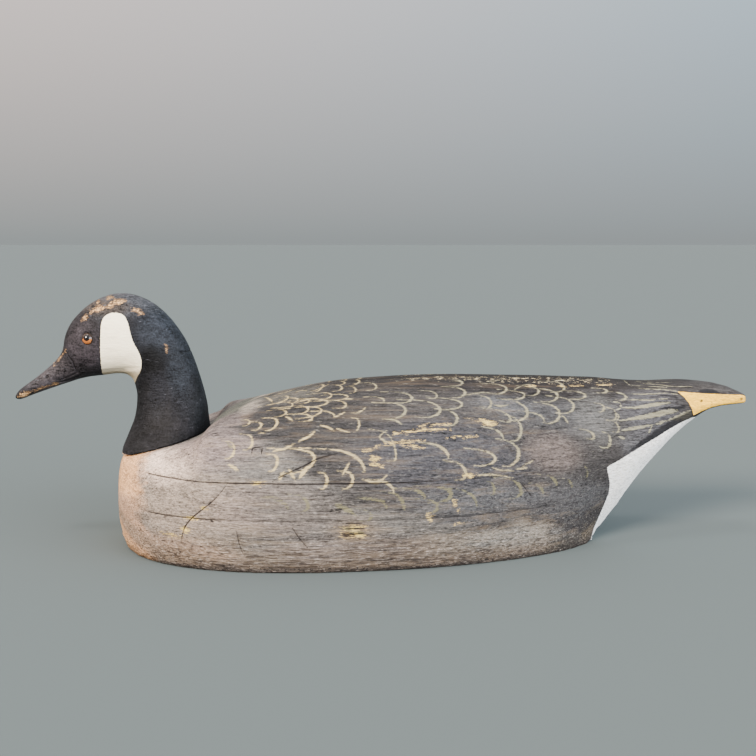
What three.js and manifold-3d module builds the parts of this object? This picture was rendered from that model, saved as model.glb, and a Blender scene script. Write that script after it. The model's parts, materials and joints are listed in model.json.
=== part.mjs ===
// Goose decoy: a life-size hunting decoy carved from wood. Three boards are glued flat, one on
// another, and carved to the body; a head-and-neck block stands on a sloping seat sawn behind the
// breast, and two glass eyes sit in drilled sockets. The underside is flat, and the bird stands on it.
// Millimetres, +Z up. The bill points along -X and the bird's left side faces -Y.

import * as THREE from 'three';
import { mergeVertices } from 'three/addons/utils/BufferGeometryUtils.js';
import Module from 'manifold-3d';

// Body
const BODY_LENGTH = 593;
const BODY_WIDTH = 244;
const BODY_HEIGHT = 158.5;
const BASE_LENGTH = 452.5;
const BASE_WIDTH = 230;
const BASE_SET_BACK = 3.9;
const BREAST_TOP_SET_BACK = 2;

// Boards, from the underside up
const BOTTOM_BOARD = 47.3;
const MIDDLE_BOARD = 32.2;
const JOINT_GAP = 0.3;

// Seat of the neck, and the hollow that is carved behind it
const SEAT_HEIGHT = 84.2;
const SEAT_TILT = THREE.MathUtils.degToRad(15);
const SEAT_SET_BACK = 3.2;
const HOLLOW_LENGTH = 60;
const HOLLOW_CURVE = 0.56;

// Head and neck
const NECK_BASE_LENGTH = 84.9;
const NECK_BASE_WIDTH = 97;
const HEAD_HEIGHT = 152;
const HEAD_WIDTH = 62;

// Tail, sawn flat on both sides and at its end
const TAIL_END_WIDTH = 40;
const TAIL_ROOT_WIDTH = 60;
const TAIL_FLAT_LENGTH = 65;
const TAIL_FLAT_TOP = 145;
const TAIL_FLAT_LEAN = THREE.MathUtils.degToRad(38);

// Glass eyes
const EYE_DIAMETER = 12;
const EYE_PROUD = 2.5;

// How finely the carved skins are divided
const BOW_STATIONS = 12;
const FLANK_STATIONS = 13;
const STERN_STATIONS = 6;
const TAIL_STATIONS = 12;
const LOWER_STEPS = 6;
const UPPER_STEPS = 10;
const HEAD_RINGS = 48;
const HEAD_RING_POINTS = 28;
const HOLLOW_STEPS = 8;

// Carved lines of the body. The first number is a share of the body's length from the breast,
// and the second a share of its height, or of its half width.
const CREST = [
  [0, 0.505], [0.005, 0.55], [0.034, 0.6], [0.084, 0.675], [0.127, 0.74], [0.161, 0.8], [0.194, 0.825],
  [0.229, 0.862], [0.26, 0.894], [0.338, 0.952], [0.447, 0.99], [0.549, 1], [0.702, 0.994], [0.763, 0.987],
  [0.815, 0.969], [0.869, 0.963], [0.9, 0.968], [0.955, 0.951], [0.978, 0.932], [1, 0.898],
];
const KEEL_BEHIND_BASE = [
  [0, 0], [0.157, 0.184], [0.28, 0.363], [0.41, 0.514], [0.55, 0.66], [0.641, 0.733], [0.688, 0.768],
  [0.738, 0.8], [0.789, 0.818], [0.854, 0.828], [1, 0.84],
];
const WIDEST_BEHIND_SHOULDER = [
  [0, 1], [0.18, 0.95], [0.31, 0.862], [0.42, 0.72], [0.53, 0.565], [0.67, 0.42], [0.78, 0.325],
  [0.84, 0.262], [0.88, 0.237], [1, 0.18],
];
const WIDEST_HEIGHT = [
  [0, 0.25], [0.3, 0.33], [0.44, 0.33], [0.6, 0.34], [0.67, 0.41], [0.76, 0.57], [0.84, 0.68],
  [0.885, 0.78], [0.93, 0.85], [1, 0.875],
];
const LOWER_FULLNESS = [
  [0, 2], [0.6, 2], [0.7, 1.5], [0.77, 1.2], [0.82, 1.5], [0.87, 2], [0.92, 2.6], [0.95, 3.2], [1, 3.4],
];
const UPPER_FULLNESS = [
  [0, 3], [0.07, 2.6], [0.12, 2.7], [0.155, 3.2], [0.19, 2.9], [0.23, 2.3], [0.3, 2.1], [0.7, 2.1],
  [0.84, 2.5], [0.88, 3.6], [0.94, 3.6], [1, 3.2],
];
const SHOULDER = 0.32;
const BOW_FULLNESS = 2.35;
const BASE_SHOULDER = 0.284;
const BASE_BOW_FULLNESS = 2.2;
const BASE_STERN_ENTRY = 1.75;
const BASE_STERN_FULLNESS = 1.85;

// Carved lines of the head and neck, as shares of the head's height: how far back and how high
// the nape or crown lies, the same for the throat or jaw, then the half width as a share of the
// head's half width, and the fullness of the section.
const HEAD_LINES = [
  [0.533, 0.237, 0.006, 0.047, 1.3, 2.4],
  [0.533, 0.29, 0.022, 0.087, 1.13, 2.2],
  [0.52, 0.369, 0.052, 0.159, 0.98, 2.1],
  [0.5, 0.447, 0.078, 0.227, 0.88, 2.1],
  [0.4745, 0.533, 0.0925, 0.302, 0.84, 2.1],
  [0.4375, 0.639, 0.097, 0.374, 0.84, 2.1],
  [0.3875, 0.741, 0.089, 0.42, 0.86, 2.1],
  [0.299, 0.86, 0.078, 0.464, 0.91, 2.15],
  [0.186, 0.953, 0.04, 0.495, 0.97, 2.2],
  [0.062, 1, -0.02, 0.5, 1, 2.25],
  [-0.06, 0.992, -0.085, 0.492, 0.98, 2.3],
  [-0.168, 0.944, -0.14, 0.485, 0.92, 2.25],
  [-0.247, 0.88, -0.19, 0.479, 0.84, 2.2],
  [-0.304, 0.814, -0.235, 0.47, 0.74, 2.15],
  [-0.336, 0.742, -0.275, 0.46, 0.64, 2.1],
  [-0.348, 0.674, -0.315, 0.447, 0.565, 2.1],
  [-0.383, 0.609, -0.36, 0.433, 0.51, 2.15],
  [-0.445, 0.545, -0.42, 0.413, 0.48, 2.2],
  [-0.53, 0.477, -0.5, 0.385, 0.46, 2.3],
  [-0.6, 0.427, -0.57, 0.361, 0.43, 2.3],
  [-0.645, 0.392, -0.635, 0.335, 0.33, 2.2],
  [-0.67, 0.355, -0.668, 0.34, 0.16, 2],
];
const EYE_RING = 0.549;
const EYE_ANGLE = THREE.MathUtils.degToRad(3.7);

const wasm = await Module();
wasm.setup();

// A smooth curve through a few points that never overshoots them.
function curveThrough(points) {
  const x = points.map((point) => point[0]);
  const y = points.map((point) => point[1]);
  const slope = [];
  for (let i = 0; i < x.length - 1; i += 1) {
    slope.push((y[i + 1] - y[i]) / (x[i + 1] - x[i]));
  }
  const tangent = x.map((_, i) => {
    if (i === 0 || i === x.length - 1) {
      return slope[Math.min(i, slope.length - 1)];
    }
    const before = slope[i - 1];
    const after = slope[i];
    return before * after <= 0 ? 0 : (2 * before * after) / (before + after);
  });
  return (at) => {
    const clamped = THREE.MathUtils.clamp(at, x[0], x[x.length - 1]);
    let i = 0;
    while (i < x.length - 2 && clamped > x[i + 1]) {
      i += 1;
    }
    const span = x[i + 1] - x[i];
    const u = (clamped - x[i]) / span;
    const rise = y[i + 1] - y[i];
    const start = tangent[i] * span;
    const end = tangent[i + 1] * span;
    return y[i] + u * (start + u * (3 * rise - 2 * start - end + u * (start + end - 2 * rise)));
  };
}

// The value between start and end, at the share u of the way, on a smooth run of four values.
function between(before, start, end, after, u) {
  const bend = 2 * before - 5 * start + 4 * end - after + u * (3 * (start - end) + after - before);
  return start + 0.5 * u * (end - before + u * bend);
}

// A closed skin through a row of rings with equally many points, with a flat cap on each end that
// isn't drawn to a line. Rings run so that the next ring lies to the left of the way they turn.
function skin(rings, capFirst, capLast) {
  const count = rings[0].length;
  const corners = [];
  const add = (...points) => points.forEach((point) => corners.push(point.x, point.y, point.z));
  for (let i = 0; i < rings.length - 1; i += 1) {
    for (let j = 0; j < count; j += 1) {
      const next = (j + 1) % count;
      add(rings[i][j], rings[i + 1][j], rings[i][next]);
      add(rings[i][next], rings[i + 1][j], rings[i + 1][next]);
    }
  }
  const cap = (ring, flip) => {
    const centre = new THREE.Vector3();
    ring.forEach((point) => centre.addScaledVector(point, 1 / count));
    for (let j = 0; j < count; j += 1) {
      const next = (j + 1) % count;
      add(centre, flip ? ring[j] : ring[next], flip ? ring[next] : ring[j]);
    }
  };
  if (capFirst) {
    cap(rings[0], true);
  }
  if (capLast) {
    cap(rings[rings.length - 1], false);
  }
  const geometry = new THREE.BufferGeometry();
  geometry.setAttribute('position', new THREE.Float32BufferAttribute(corners, 3));
  return geometry;
}

function toSolid(geometry) {
  const bare = geometry.clone();
  bare.deleteAttribute('normal');
  bare.deleteAttribute('uv');
  const merged = mergeVertices(bare, 1e-3);
  const index = merged.index.array;
  const faces = [];
  for (let i = 0; i < index.length; i += 3) {
    const [a, b, c] = [index[i], index[i + 1], index[i + 2]];
    if (a !== b && b !== c && c !== a) {
      faces.push(a, b, c);
    }
  }
  return new wasm.Manifold(new wasm.Mesh({
    numProp: 3,
    vertProperties: new Float32Array(merged.attributes.position.array),
    triVerts: new Uint32Array(faces),
  }));
}

function toGeometry(solid) {
  const mesh = solid.getMesh();
  const geometry = new THREE.BufferGeometry();
  geometry.setAttribute('position', new THREE.BufferAttribute(mesh.vertProperties, 3));
  geometry.setIndex(new THREE.BufferAttribute(mesh.triVerts, 1));
  geometry.computeVertexNormals();
  return geometry;
}

const crestAt = curveThrough(CREST);
const keelBehindBase = curveThrough(KEEL_BEHIND_BASE);
const widestBehindShoulder = curveThrough(WIDEST_BEHIND_SHOULDER);
const widestHeightAt = curveThrough(WIDEST_HEIGHT);
const lowerFullnessAt = curveThrough(LOWER_FULLNESS);
const upperFullnessAt = curveThrough(UPPER_FULLNESS);
const baseEnd = BASE_SET_BACK + BASE_LENGTH;
const shoulderX = SHOULDER * BODY_LENGTH;
const baseShoulderX = BASE_SHOULDER * BODY_LENGTH;

const crestHeight = (x) => BODY_HEIGHT * crestAt(x / BODY_LENGTH);

function keelHeight(x) {
  return x <= baseEnd ? 0 : BODY_HEIGHT * keelBehindBase((x - baseEnd) / (BODY_LENGTH - baseEnd));
}

function widestHalfWidth(x) {
  if (x < shoulderX) {
    const ahead = (shoulderX - x) / shoulderX;
    return (BODY_WIDTH / 2) * Math.max(0, 1 - ahead ** BOW_FULLNESS) ** (1 / BOW_FULLNESS);
  }
  return (BODY_WIDTH / 2) * widestBehindShoulder((x - shoulderX) / (BODY_LENGTH - shoulderX));
}

// How far x lies behind the widest place of the base, as a share of the way to the base's end.
function behindBaseShoulder(x) {
  return THREE.MathUtils.clamp((x - baseShoulderX) / (baseEnd - baseShoulderX), 0, 1);
}

function baseHalfWidth(x) {
  if (x < baseShoulderX) {
    const ahead = Math.min(1, (baseShoulderX - x) / (baseShoulderX - BASE_SET_BACK));
    return (BASE_WIDTH / 2) * (1 - ahead ** BASE_BOW_FULLNESS) ** (1 / BASE_BOW_FULLNESS);
  }
  const behind = behindBaseShoulder(x);
  return (BASE_WIDTH / 2) * (1 - behind ** BASE_STERN_ENTRY) ** (1 / BASE_STERN_FULLNESS);
}

// The breast leans back a little towards its foot and towards its top.
function breastLean(x, height) {
  const fade = Math.max(0, 1 - x / shoulderX) ** 2;
  const middle = WIDEST_HEIGHT[0][1] * BODY_HEIGHT;
  const away = (height - middle) / middle;
  return fade * away ** 2 * (height < middle ? BASE_SET_BACK : BREAST_TOP_SET_BACK);
}

// One side of the body's section at x: from the middle of the underside out to the base's edge,
// up to the widest line and on to the crest.
function halfSection(x) {
  const share = x / BODY_LENGTH;
  const bottom = keelHeight(x);
  const top = crestHeight(x);
  const widest = widestHalfWidth(x);
  const base = Math.min(baseHalfWidth(x), widest);
  const middle = Math.max(bottom, BODY_HEIGHT * widestHeightAt(share));
  const lower = 2 / lowerFullnessAt(share);
  const upper = 2 / upperFullnessAt(share);
  const baseFade = 1 + 2 * behindBaseShoulder(x) ** 20;
  const points = [[0, bottom], [base / 2, bottom]];
  for (let i = 0; i <= LOWER_STEPS; i += 1) {
    const angle = (i / LOWER_STEPS) * (Math.PI / 2);
    const out = Math.sin(angle) ** lower;
    const down = Math.cos(angle) ** lower;
    points.push([base * (1 - out) ** baseFade + widest * out, middle - (middle - bottom) * down]);
  }
  for (let i = 1; i <= UPPER_STEPS; i += 1) {
    const angle = (i / UPPER_STEPS) * (Math.PI / 2);
    const out = i === UPPER_STEPS ? 0 : Math.cos(angle) ** upper;
    points.push([widest * out, middle + (top - middle) * Math.sin(angle) ** upper]);
  }
  return points;
}

function stations() {
  const list = [];
  for (let i = 0; i < BOW_STATIONS; i += 1) {
    list.push(shoulderX * (1 - Math.cos((i / BOW_STATIONS) * (Math.PI / 2))));
  }
  const sternX = baseEnd - BASE_LENGTH / STERN_STATIONS;
  for (let i = 0; i < FLANK_STATIONS; i += 1) {
    list.push(THREE.MathUtils.lerp(shoulderX, sternX, i / FLANK_STATIONS));
  }
  for (let i = 0; i < STERN_STATIONS; i += 1) {
    list.push(THREE.MathUtils.lerp(sternX, baseEnd, Math.sin((i / STERN_STATIONS) * (Math.PI / 2))));
  }
  for (let i = 0; i <= TAIL_STATIONS; i += 1) {
    list.push(THREE.MathUtils.lerp(baseEnd, BODY_LENGTH, i / TAIL_STATIONS));
  }
  return list;
}

function bodyForm() {
  const rings = stations().map((x) => {
    const side = halfSection(x);
    const place = (y, z) => new THREE.Vector3(x + breastLean(x, z), y, z);
    const left = side.map(([y, z]) => place(-y, z));
    const right = side.slice(1, -1).reverse().map(([y, z]) => place(y, z));
    return [...left, ...right];
  });
  return toSolid(skin(rings, false, true));
}

// A straight-sided block across the body, from an outline drawn in side view.
function crossBlock(shape) {
  const geometry = new THREE.ExtrudeGeometry(shape, { depth: 2 * BODY_WIDTH, bevelEnabled: false });
  geometry.rotateX(Math.PI / 2);
  geometry.translate(0, BODY_WIDTH, 0);
  return toSolid(geometry);
}

function seatPoint(along) {
  return new THREE.Vector2(
    SEAT_SET_BACK + along * Math.cos(SEAT_TILT),
    SEAT_HEIGHT + along * Math.sin(SEAT_TILT),
  );
}

// What is sawn and carved away above the seat and in the hollow behind it.
function seatCutter() {
  const back = seatPoint(NECK_BASE_LENGTH);
  const hollowEnd = back.x + HOLLOW_LENGTH;
  const rise = crestHeight(hollowEnd) - back.y;
  const shape = new THREE.Shape();
  const front = seatPoint(-NECK_BASE_LENGTH);
  shape.moveTo(front.x, front.y);
  shape.lineTo(back.x, back.y);
  for (let i = 1; i <= HOLLOW_STEPS; i += 1) {
    const along = i / HOLLOW_STEPS;
    shape.lineTo(back.x + HOLLOW_LENGTH * along, back.y + rise * along ** HOLLOW_CURVE);
  }
  shape.lineTo(hollowEnd, 2 * BODY_HEIGHT);
  shape.lineTo(front.x, 2 * BODY_HEIGHT);
  shape.closePath();
  return crossBlock(shape);
}

// What the saw takes off one side of the tail: side is -1 for the left and 1 for the right. In
// front of the flat the cut flares away from the body, along a line that leans back to its foot.
function tailCutter(side) {
  const start = BODY_LENGTH - TAIL_FLAT_LENGTH;
  const past = BODY_LENGTH + TAIL_FLAT_LENGTH;
  const taper = (TAIL_ROOT_WIDTH - TAIL_END_WIDTH) / 2 / TAIL_FLAT_LENGTH;
  const shape = new THREE.Shape();
  shape.moveTo(start, (side * TAIL_ROOT_WIDTH) / 2);
  shape.lineTo(past, side * (TAIL_END_WIDTH / 2 - taper * TAIL_FLAT_LENGTH));
  shape.lineTo(past, side * BODY_WIDTH);
  shape.lineTo(start - TAIL_FLAT_LENGTH, side * BODY_WIDTH);
  shape.closePath();
  const geometry = new THREE.ExtrudeGeometry(shape, { depth: 2 * BODY_HEIGHT, bevelEnabled: false });
  const lean = Math.tan(TAIL_FLAT_LEAN);
  geometry.applyMatrix4(new THREE.Matrix4().makeShear(0, 0, 0, 0, -lean, 0));
  geometry.translate(lean * TAIL_FLAT_TOP, 0, 0);
  return toSolid(geometry);
}

// Everything between two heights, as a board of the full size.
function boardBlank(low, high) {
  const geometry = new THREE.BoxGeometry(3 * BODY_LENGTH, 2 * BODY_WIDTH, high - low);
  geometry.translate(BODY_LENGTH / 2, 0, (low + high) / 2);
  return toSolid(geometry);
}

function headRow(share) {
  const foot = seatPoint(NECK_BASE_LENGTH);
  const throat = seatPoint(0);
  const lift = JOINT_GAP / Math.cos(SEAT_TILT);
  const rows = HEAD_LINES.map(([topBack, topUp, jawBack, jawUp, half, fullness]) => [
    throat.x + HEAD_HEIGHT * topBack, throat.y + HEAD_HEIGHT * topUp,
    throat.x + HEAD_HEIGHT * jawBack, throat.y + HEAD_HEIGHT * jawUp,
    (HEAD_WIDTH / 2) * half, fullness,
  ]);
  rows.unshift([foot.x, foot.y + lift, throat.x, throat.y + lift, NECK_BASE_WIDTH / 2, rows[0][5]]);
  const along = share * (rows.length - 1);
  const i = Math.min(Math.floor(along), rows.length - 2);
  const near = [i - 1, i, i + 1, i + 2].map((k) => rows[THREE.MathUtils.clamp(k, 0, rows.length - 1)]);
  return rows[0].map((_, column) => between(...near.map((row) => row[column]), along - i));
}

// A point of the head's skin: share runs from the seat to the bill's tip, and the angle from the
// middle of the left side up towards the crown.
function headPoint(share, angle) {
  const [topX, topZ, jawX, jawZ, half, fullness] = headRow(share);
  const power = 2 / fullness;
  const up = Math.sign(Math.sin(angle)) * Math.abs(Math.sin(angle)) ** power;
  const out = Math.sign(Math.cos(angle)) * Math.abs(Math.cos(angle)) ** power;
  return new THREE.Vector3(
    (topX + jawX) / 2 + (up * (topX - jawX)) / 2,
    -half * out,
    (topZ + jawZ) / 2 + (up * (topZ - jawZ)) / 2,
  );
}

function headForm() {
  const rings = [];
  for (let i = 0; i <= HEAD_RINGS; i += 1) {
    const ring = [];
    for (let j = 0; j < HEAD_RING_POINTS; j += 1) {
      ring.push(headPoint(i / HEAD_RINGS, (-j / HEAD_RING_POINTS) * 2 * Math.PI));
    }
    rings.push(ring);
  }
  return toSolid(skin(rings, true, true));
}

function eyeCentre(side) {
  const step = 0.01;
  const skinPoint = headPoint(EYE_RING, EYE_ANGLE);
  const along = headPoint(EYE_RING + step, EYE_ANGLE).sub(skinPoint);
  const around = headPoint(EYE_RING, EYE_ANGLE + step).sub(skinPoint);
  const outward = along.cross(around).normalize();
  if (outward.y > 0) {
    outward.negate();
  }
  const centre = skinPoint.addScaledVector(outward, EYE_PROUD - EYE_DIAMETER / 2);
  return new THREE.Vector3(centre.x, -side * centre.y, centre.z);
}

function ball(centre, radius, widthSegments, heightSegments) {
  const geometry = new THREE.SphereGeometry(radius, widthSegments, heightSegments);
  geometry.rotateX(Math.PI / 2);
  geometry.translate(centre.x, centre.y, centre.z);
  return geometry;
}

function headWithSockets() {
  return [-1, 1].reduce((head, side) => {
    const socket = ball(eyeCentre(side), EYE_DIAMETER / 2 + JOINT_GAP, 20, 14);
    return head.subtract(toSolid(socket));
  }, headForm());
}

const greyPaint = { color: 0x8d847b, roughness: 0.85, metalness: 0 };
const brownPaint = { color: 0x5a524d, roughness: 0.85, metalness: 0 };
const blackPaint = { color: 0x23242a, roughness: 0.7, metalness: 0 };
const amberGlass = { color: 0xa85a14, roughness: 0.1, metalness: 0 };

const goose = new THREE.Group();

function addPiece(name, geometry, finish) {
  const mesh = new THREE.Mesh(geometry, new THREE.MeshStandardMaterial(finish));
  mesh.name = name;
  goose.add(mesh);
}

const carvedBody = bodyForm()
  .subtract(seatCutter())
  .subtract(tailCutter(-1))
  .subtract(tailCutter(1));
const middleTop = BOTTOM_BOARD + MIDDLE_BOARD;
const halfGap = JOINT_GAP / 2;
const boards = [
  ['body_bottom_board', -BODY_HEIGHT, BOTTOM_BOARD - halfGap, greyPaint],
  ['body_middle_board', BOTTOM_BOARD + halfGap, middleTop - halfGap, greyPaint],
  ['body_top_block', middleTop + halfGap, 2 * BODY_HEIGHT, brownPaint],
];
boards.forEach(([name, low, high, finish]) => {
  addPiece(name, toGeometry(carvedBody.intersect(boardBlank(low, high))), finish);
});

addPiece('head_and_neck', toGeometry(headWithSockets()), blackPaint);
addPiece('eye_left', ball(eyeCentre(-1), EYE_DIAMETER / 2, 18, 12), amberGlass);
addPiece('eye_right', ball(eyeCentre(1), EYE_DIAMETER / 2, 18, 12), amberGlass);

// The origin is on the ground, under the middle of the whole bird's length.
const extent = new THREE.Box3().setFromObject(goose);
goose.position.x = -(extent.min.x + extent.max.x) / 2;
goose.updateMatrixWorld(true);

export default goose;
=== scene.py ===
"""Looks of a carved and painted goose decoy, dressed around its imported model.

The decoy is three boards glued flat and carved to a body, a carved head and neck, and two glass
eyes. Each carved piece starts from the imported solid, is given a finer skin, worn and cut as the
wood is, and is then marked with how far every point lies inside each painted or worn place. The
finishes read those marks. Lengths are in millimetres unless a name ends in _m.
"""

import json
import logging
import math
from dataclasses import dataclass
from enum import Enum
from itertools import product
from typing import Iterable, Sequence

import bpy
import numpy as np
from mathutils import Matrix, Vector

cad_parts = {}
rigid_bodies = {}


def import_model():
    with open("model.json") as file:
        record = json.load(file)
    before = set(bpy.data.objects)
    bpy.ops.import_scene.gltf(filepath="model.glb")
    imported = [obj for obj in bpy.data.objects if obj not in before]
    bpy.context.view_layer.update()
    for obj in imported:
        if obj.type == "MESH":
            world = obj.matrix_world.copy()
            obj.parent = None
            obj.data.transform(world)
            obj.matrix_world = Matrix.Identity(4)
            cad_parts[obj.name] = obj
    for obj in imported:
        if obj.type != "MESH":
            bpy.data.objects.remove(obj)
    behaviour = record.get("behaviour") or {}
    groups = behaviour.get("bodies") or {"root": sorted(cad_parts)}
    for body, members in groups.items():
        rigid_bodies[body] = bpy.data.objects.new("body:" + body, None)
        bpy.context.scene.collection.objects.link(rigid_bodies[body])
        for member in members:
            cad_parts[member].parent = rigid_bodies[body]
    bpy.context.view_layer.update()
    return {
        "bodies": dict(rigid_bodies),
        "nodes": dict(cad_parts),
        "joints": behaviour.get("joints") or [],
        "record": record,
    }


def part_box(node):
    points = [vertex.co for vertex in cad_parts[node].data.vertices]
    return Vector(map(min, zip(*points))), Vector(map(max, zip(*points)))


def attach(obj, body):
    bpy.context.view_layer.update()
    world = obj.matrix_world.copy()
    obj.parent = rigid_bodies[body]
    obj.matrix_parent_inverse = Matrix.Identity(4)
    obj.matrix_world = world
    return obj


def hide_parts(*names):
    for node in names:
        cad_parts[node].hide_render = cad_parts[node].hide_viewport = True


Array = np.ndarray
Piece = bpy.types.Object
Socket = bpy.types.NodeSocket
Pair = tuple[float, float]
Triple = tuple[float, float, float]

MM = 0.001
# How near the top of a board a point lies that moves with it, and how near two points are welded
TOP_BAND = 0.02
WELD = 0.01
# The share of a brush that lies to each side of its stroke, how far beyond the stroke its depth is
# measured, and the depth of all places further out
HALF_BRUSH = 0.29
MARGIN = 4.0
FAR_OUTSIDE = -8.0
# Large odd numbers that scatter the cells, the seeds and the digits of a random pattern
CELL_KEYS = np.array([73856093, 19349663, 83492791])
SEED_KEY = 2654435761
DIGIT_KEY = 1274126177
LOG = logging.getLogger("goose_decoy")


class Side(Enum):
    """The two sides of the bird, by the direction in which Y runs out of it."""

    LEFT = -1
    RIGHT = 1


def linear(colour: str) -> tuple[float, float, float, float]:
    """Turn an sRGB hex colour into the linear colour that a shader takes.

    Args:
        colour: six hex digits after a hash.

    Returns:
        Red, green and blue in linear light, and full opacity.
    """
    channels = [int(colour[i : i + 2], 16) / 255 for i in (1, 3, 5)]
    bright = [c / 12.92 if c <= 0.04045 else ((c + 0.055) / 1.055) ** 2.4 for c in channels]
    return (*bright, 1.0)


def ease(values: Array, start: float, end: float) -> Array:
    """Run smoothly from 0 at start to 1 at end, whichever of the two is larger."""
    share = np.clip((values - start) / (end - start), 0, 1)
    return share * share * (3 - 2 * share)


def lattice_noise(cells: Array, seed: int) -> Array:
    """Smooth random values that are the same at each run.

    Args:
        cells: one place per row, in cells of the lattice.
        seed: picks the pattern.

    Returns:
        One value from 0 to 1 for each place.
    """
    corner_of = np.floor(cells).astype(np.int64)
    part = cells - corner_of
    part = part * part * (3 - 2 * part)
    total = np.zeros(len(cells))
    for corner in product((0, 1), repeat=3):
        key = (corner_of + corner) @ CELL_KEYS + seed * SEED_KEY
        key = (key ^ (key >> 13)) * DIGIT_KEY
        value = ((key ^ (key >> 16)) & 0xFFFF) / 0xFFFF
        total += value * np.prod(np.where(corner, part, 1 - part), axis=1)
    return total


def smooth_line(points: Sequence[Sequence[float]], closed: bool = False, steps: int = 6) -> Array:
    """Run a smooth line through a few points.

    Args:
        points: the points, in order.
        closed: whether the line comes back to its first point.
        steps: how many points the line has for each one given.

    Returns:
        The points of the line.
    """
    given = np.array(points, float)
    around = (given[-1:], given, given[:2]) if closed else (given[:1], given, given[-1:])
    run = np.vstack(around)
    before, start, end, after = (run[k : len(run) - 3 + k, None] for k in range(4))
    u = np.arange(steps)[:, None] / steps
    bend = 2 * before - 5 * start + 4 * end - after + u * (3 * (start - end) + after - before)
    line = (start + 0.5 * u * (end - before + u * bend)).reshape(-1, 2)
    return line if closed else np.vstack([line, given[-1:]])


def distance_to_line(places: Array, line: Array) -> tuple[Array, Array]:
    """Measure how far places on a sheet lie from a line drawn on it.

    Args:
        places: one place per row, in two numbers.
        line: the points of the line.

    Returns:
        The distance of each place, and the share of the line's points passed at its foot.
    """
    best = np.full(len(places), np.inf)
    passed = np.zeros(len(places))
    for i, (start, end) in enumerate(zip(line[:-1], line[1:])):
        run = end - start
        share = np.clip((places - start) @ run / max(run @ run, 1e-9), 0, 1)
        away = np.linalg.norm(places - start - share[:, None] * run, axis=1)
        nearer = away < best
        best[nearer] = away[nearer]
        passed[nearer] = (i + share[nearer]) / (len(line) - 1)
    return best, passed


def depth_inside(places: Array, outline: Array) -> Array:
    """Measure how deep places on a sheet lie inside a closed outline.

    Args:
        places: one place per row, in two numbers.
        outline: the points of the outline, without the first one again.

    Returns:
        The distance to the outline, above zero inside it and below zero outside.
    """
    ring = np.vstack([outline, outline[:1]])
    away, _ = distance_to_line(places, ring)
    inside = np.zeros(len(places), bool)
    for start, end in zip(ring[:-1], ring[1:]):
        crosses = (start[1] > places[:, 1]) != (end[1] > places[:, 1])
        rise = end[1] - start[1] or 1e-9
        at = start[0] + (places[:, 1] - start[1]) / rise * (end[0] - start[0])
        inside ^= crosses & (places[:, 0] < at)
    return np.where(inside, away, -away)


class Skin:
    """The points of a carved piece, in millimetres, shaped as arrays and written back."""

    def __init__(self, piece: Piece) -> None:
        """Read the piece's points and the way that each of them faces.

        Args:
            piece: the carved piece.
        """
        self.piece = piece
        self.points = self.read(piece.data.vertices, "co") / MM
        self.normals = self.read(piece.data.vertex_normals, "vector")

    @staticmethod
    def read(items: bpy.types.bpy_prop_collection, name: str) -> Array:
        """Read three numbers for each point of the piece.

        Args:
            items: what holds them, such as the vertices of a mesh.
            name: which of their properties is read.

        Returns:
            One row of three numbers for each point.
        """
        flat = np.zeros(len(items) * 3)
        items.foreach_get(name, flat)
        return flat.reshape(-1, 3)

    @property
    def profile(self) -> Array:
        """The points in the side view, along the body and by height."""
        return self.points[:, [0, 2]]

    def noise(self, size: Triple, seed: int) -> Array:
        """Smooth random values from 0 to 1 over the piece, in patches of this size."""
        return lattice_noise(self.points / size, seed)

    def write(self) -> None:
        """Give the piece the points as they now are, and read again how they face."""
        mesh = self.piece.data
        mesh.vertices.foreach_set("co", (self.points * MM).ravel())
        mesh.update()
        self.normals = self.read(mesh.vertex_normals, "vector")

    def sink(self, depth: Array) -> None:
        """Move each point into the wood by its own depth."""
        self.points -= self.normals * depth[:, None]

    def mark(self, name: str, values: Array) -> None:
        """Keep one value for each point under a name that the finishes read."""
        layer = self.piece.data.attributes.new(name, "FLOAT", "POINT")
        layer.data.foreach_set("value", values.astype(np.float32))

    def tint(self, name: str, colours: Array) -> None:
        """Keep one linear colour for each point under a name that the finishes read."""
        layer = self.piece.data.attributes.new(name, "FLOAT_COLOR", "POINT")
        layer.data.foreach_set("color", colours.astype(np.float32).ravel())


def only(piece: Piece) -> None:
    """Select this piece alone and make it the one that operators act on.

    Args:
        piece: the piece.
    """
    bpy.ops.object.select_all(action="DESELECT")
    piece.select_set(True)
    bpy.context.view_layer.objects.active = piece


def apply_modifier(piece: Piece, kind: str, **settings: object) -> None:
    """Add one modifier to a piece with its settings, and apply it.

    Args:
        piece: the piece.
        kind: the modifier's type, as Blender names it.
        settings: the modifier's own settings.
    """
    only(piece)
    modifier = piece.modifiers.new(kind.lower(), kind)
    for name, value in settings.items():
        setattr(modifier, name, value)
    bpy.ops.object.modifier_apply(modifier=modifier.name)


def merged_copy(frame: dict, nodes: Iterable[str], name: str, reach: float = 0.0) -> Piece:
    """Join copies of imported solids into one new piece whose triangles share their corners.

    Args:
        nodes: the solids to copy, from the ground up.
        name: the new piece's name.
        reach: how far each solid but the last is raised at its top, to overlap the next one.

    Returns:
        The new piece, at the origin.
    """
    nodes = list(nodes)
    copies = []
    for node in nodes:
        source = frame["nodes"][node]
        copy = bpy.data.objects.new(name, source.data.copy())
        bpy.context.scene.collection.objects.link(copy)
        skin = Skin(copy)
        if node != nodes[-1]:
            top = skin.points[:, 2].max()
            skin.points[skin.points[:, 2] > top - TOP_BAND, 2] += reach
        skin.write()
        copies.append(copy)
    only(copies[0])
    for copy in copies:
        copy.select_set(True)
    if len(copies) > 1:
        bpy.ops.object.join()
    piece = bpy.context.view_layer.objects.active
    piece.data.materials.clear()
    bpy.ops.object.mode_set(mode="EDIT")
    bpy.ops.mesh.select_all(action="SELECT")
    bpy.ops.mesh.remove_doubles(threshold=WELD * MM)
    bpy.ops.object.mode_set(mode="OBJECT")
    return piece


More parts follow.
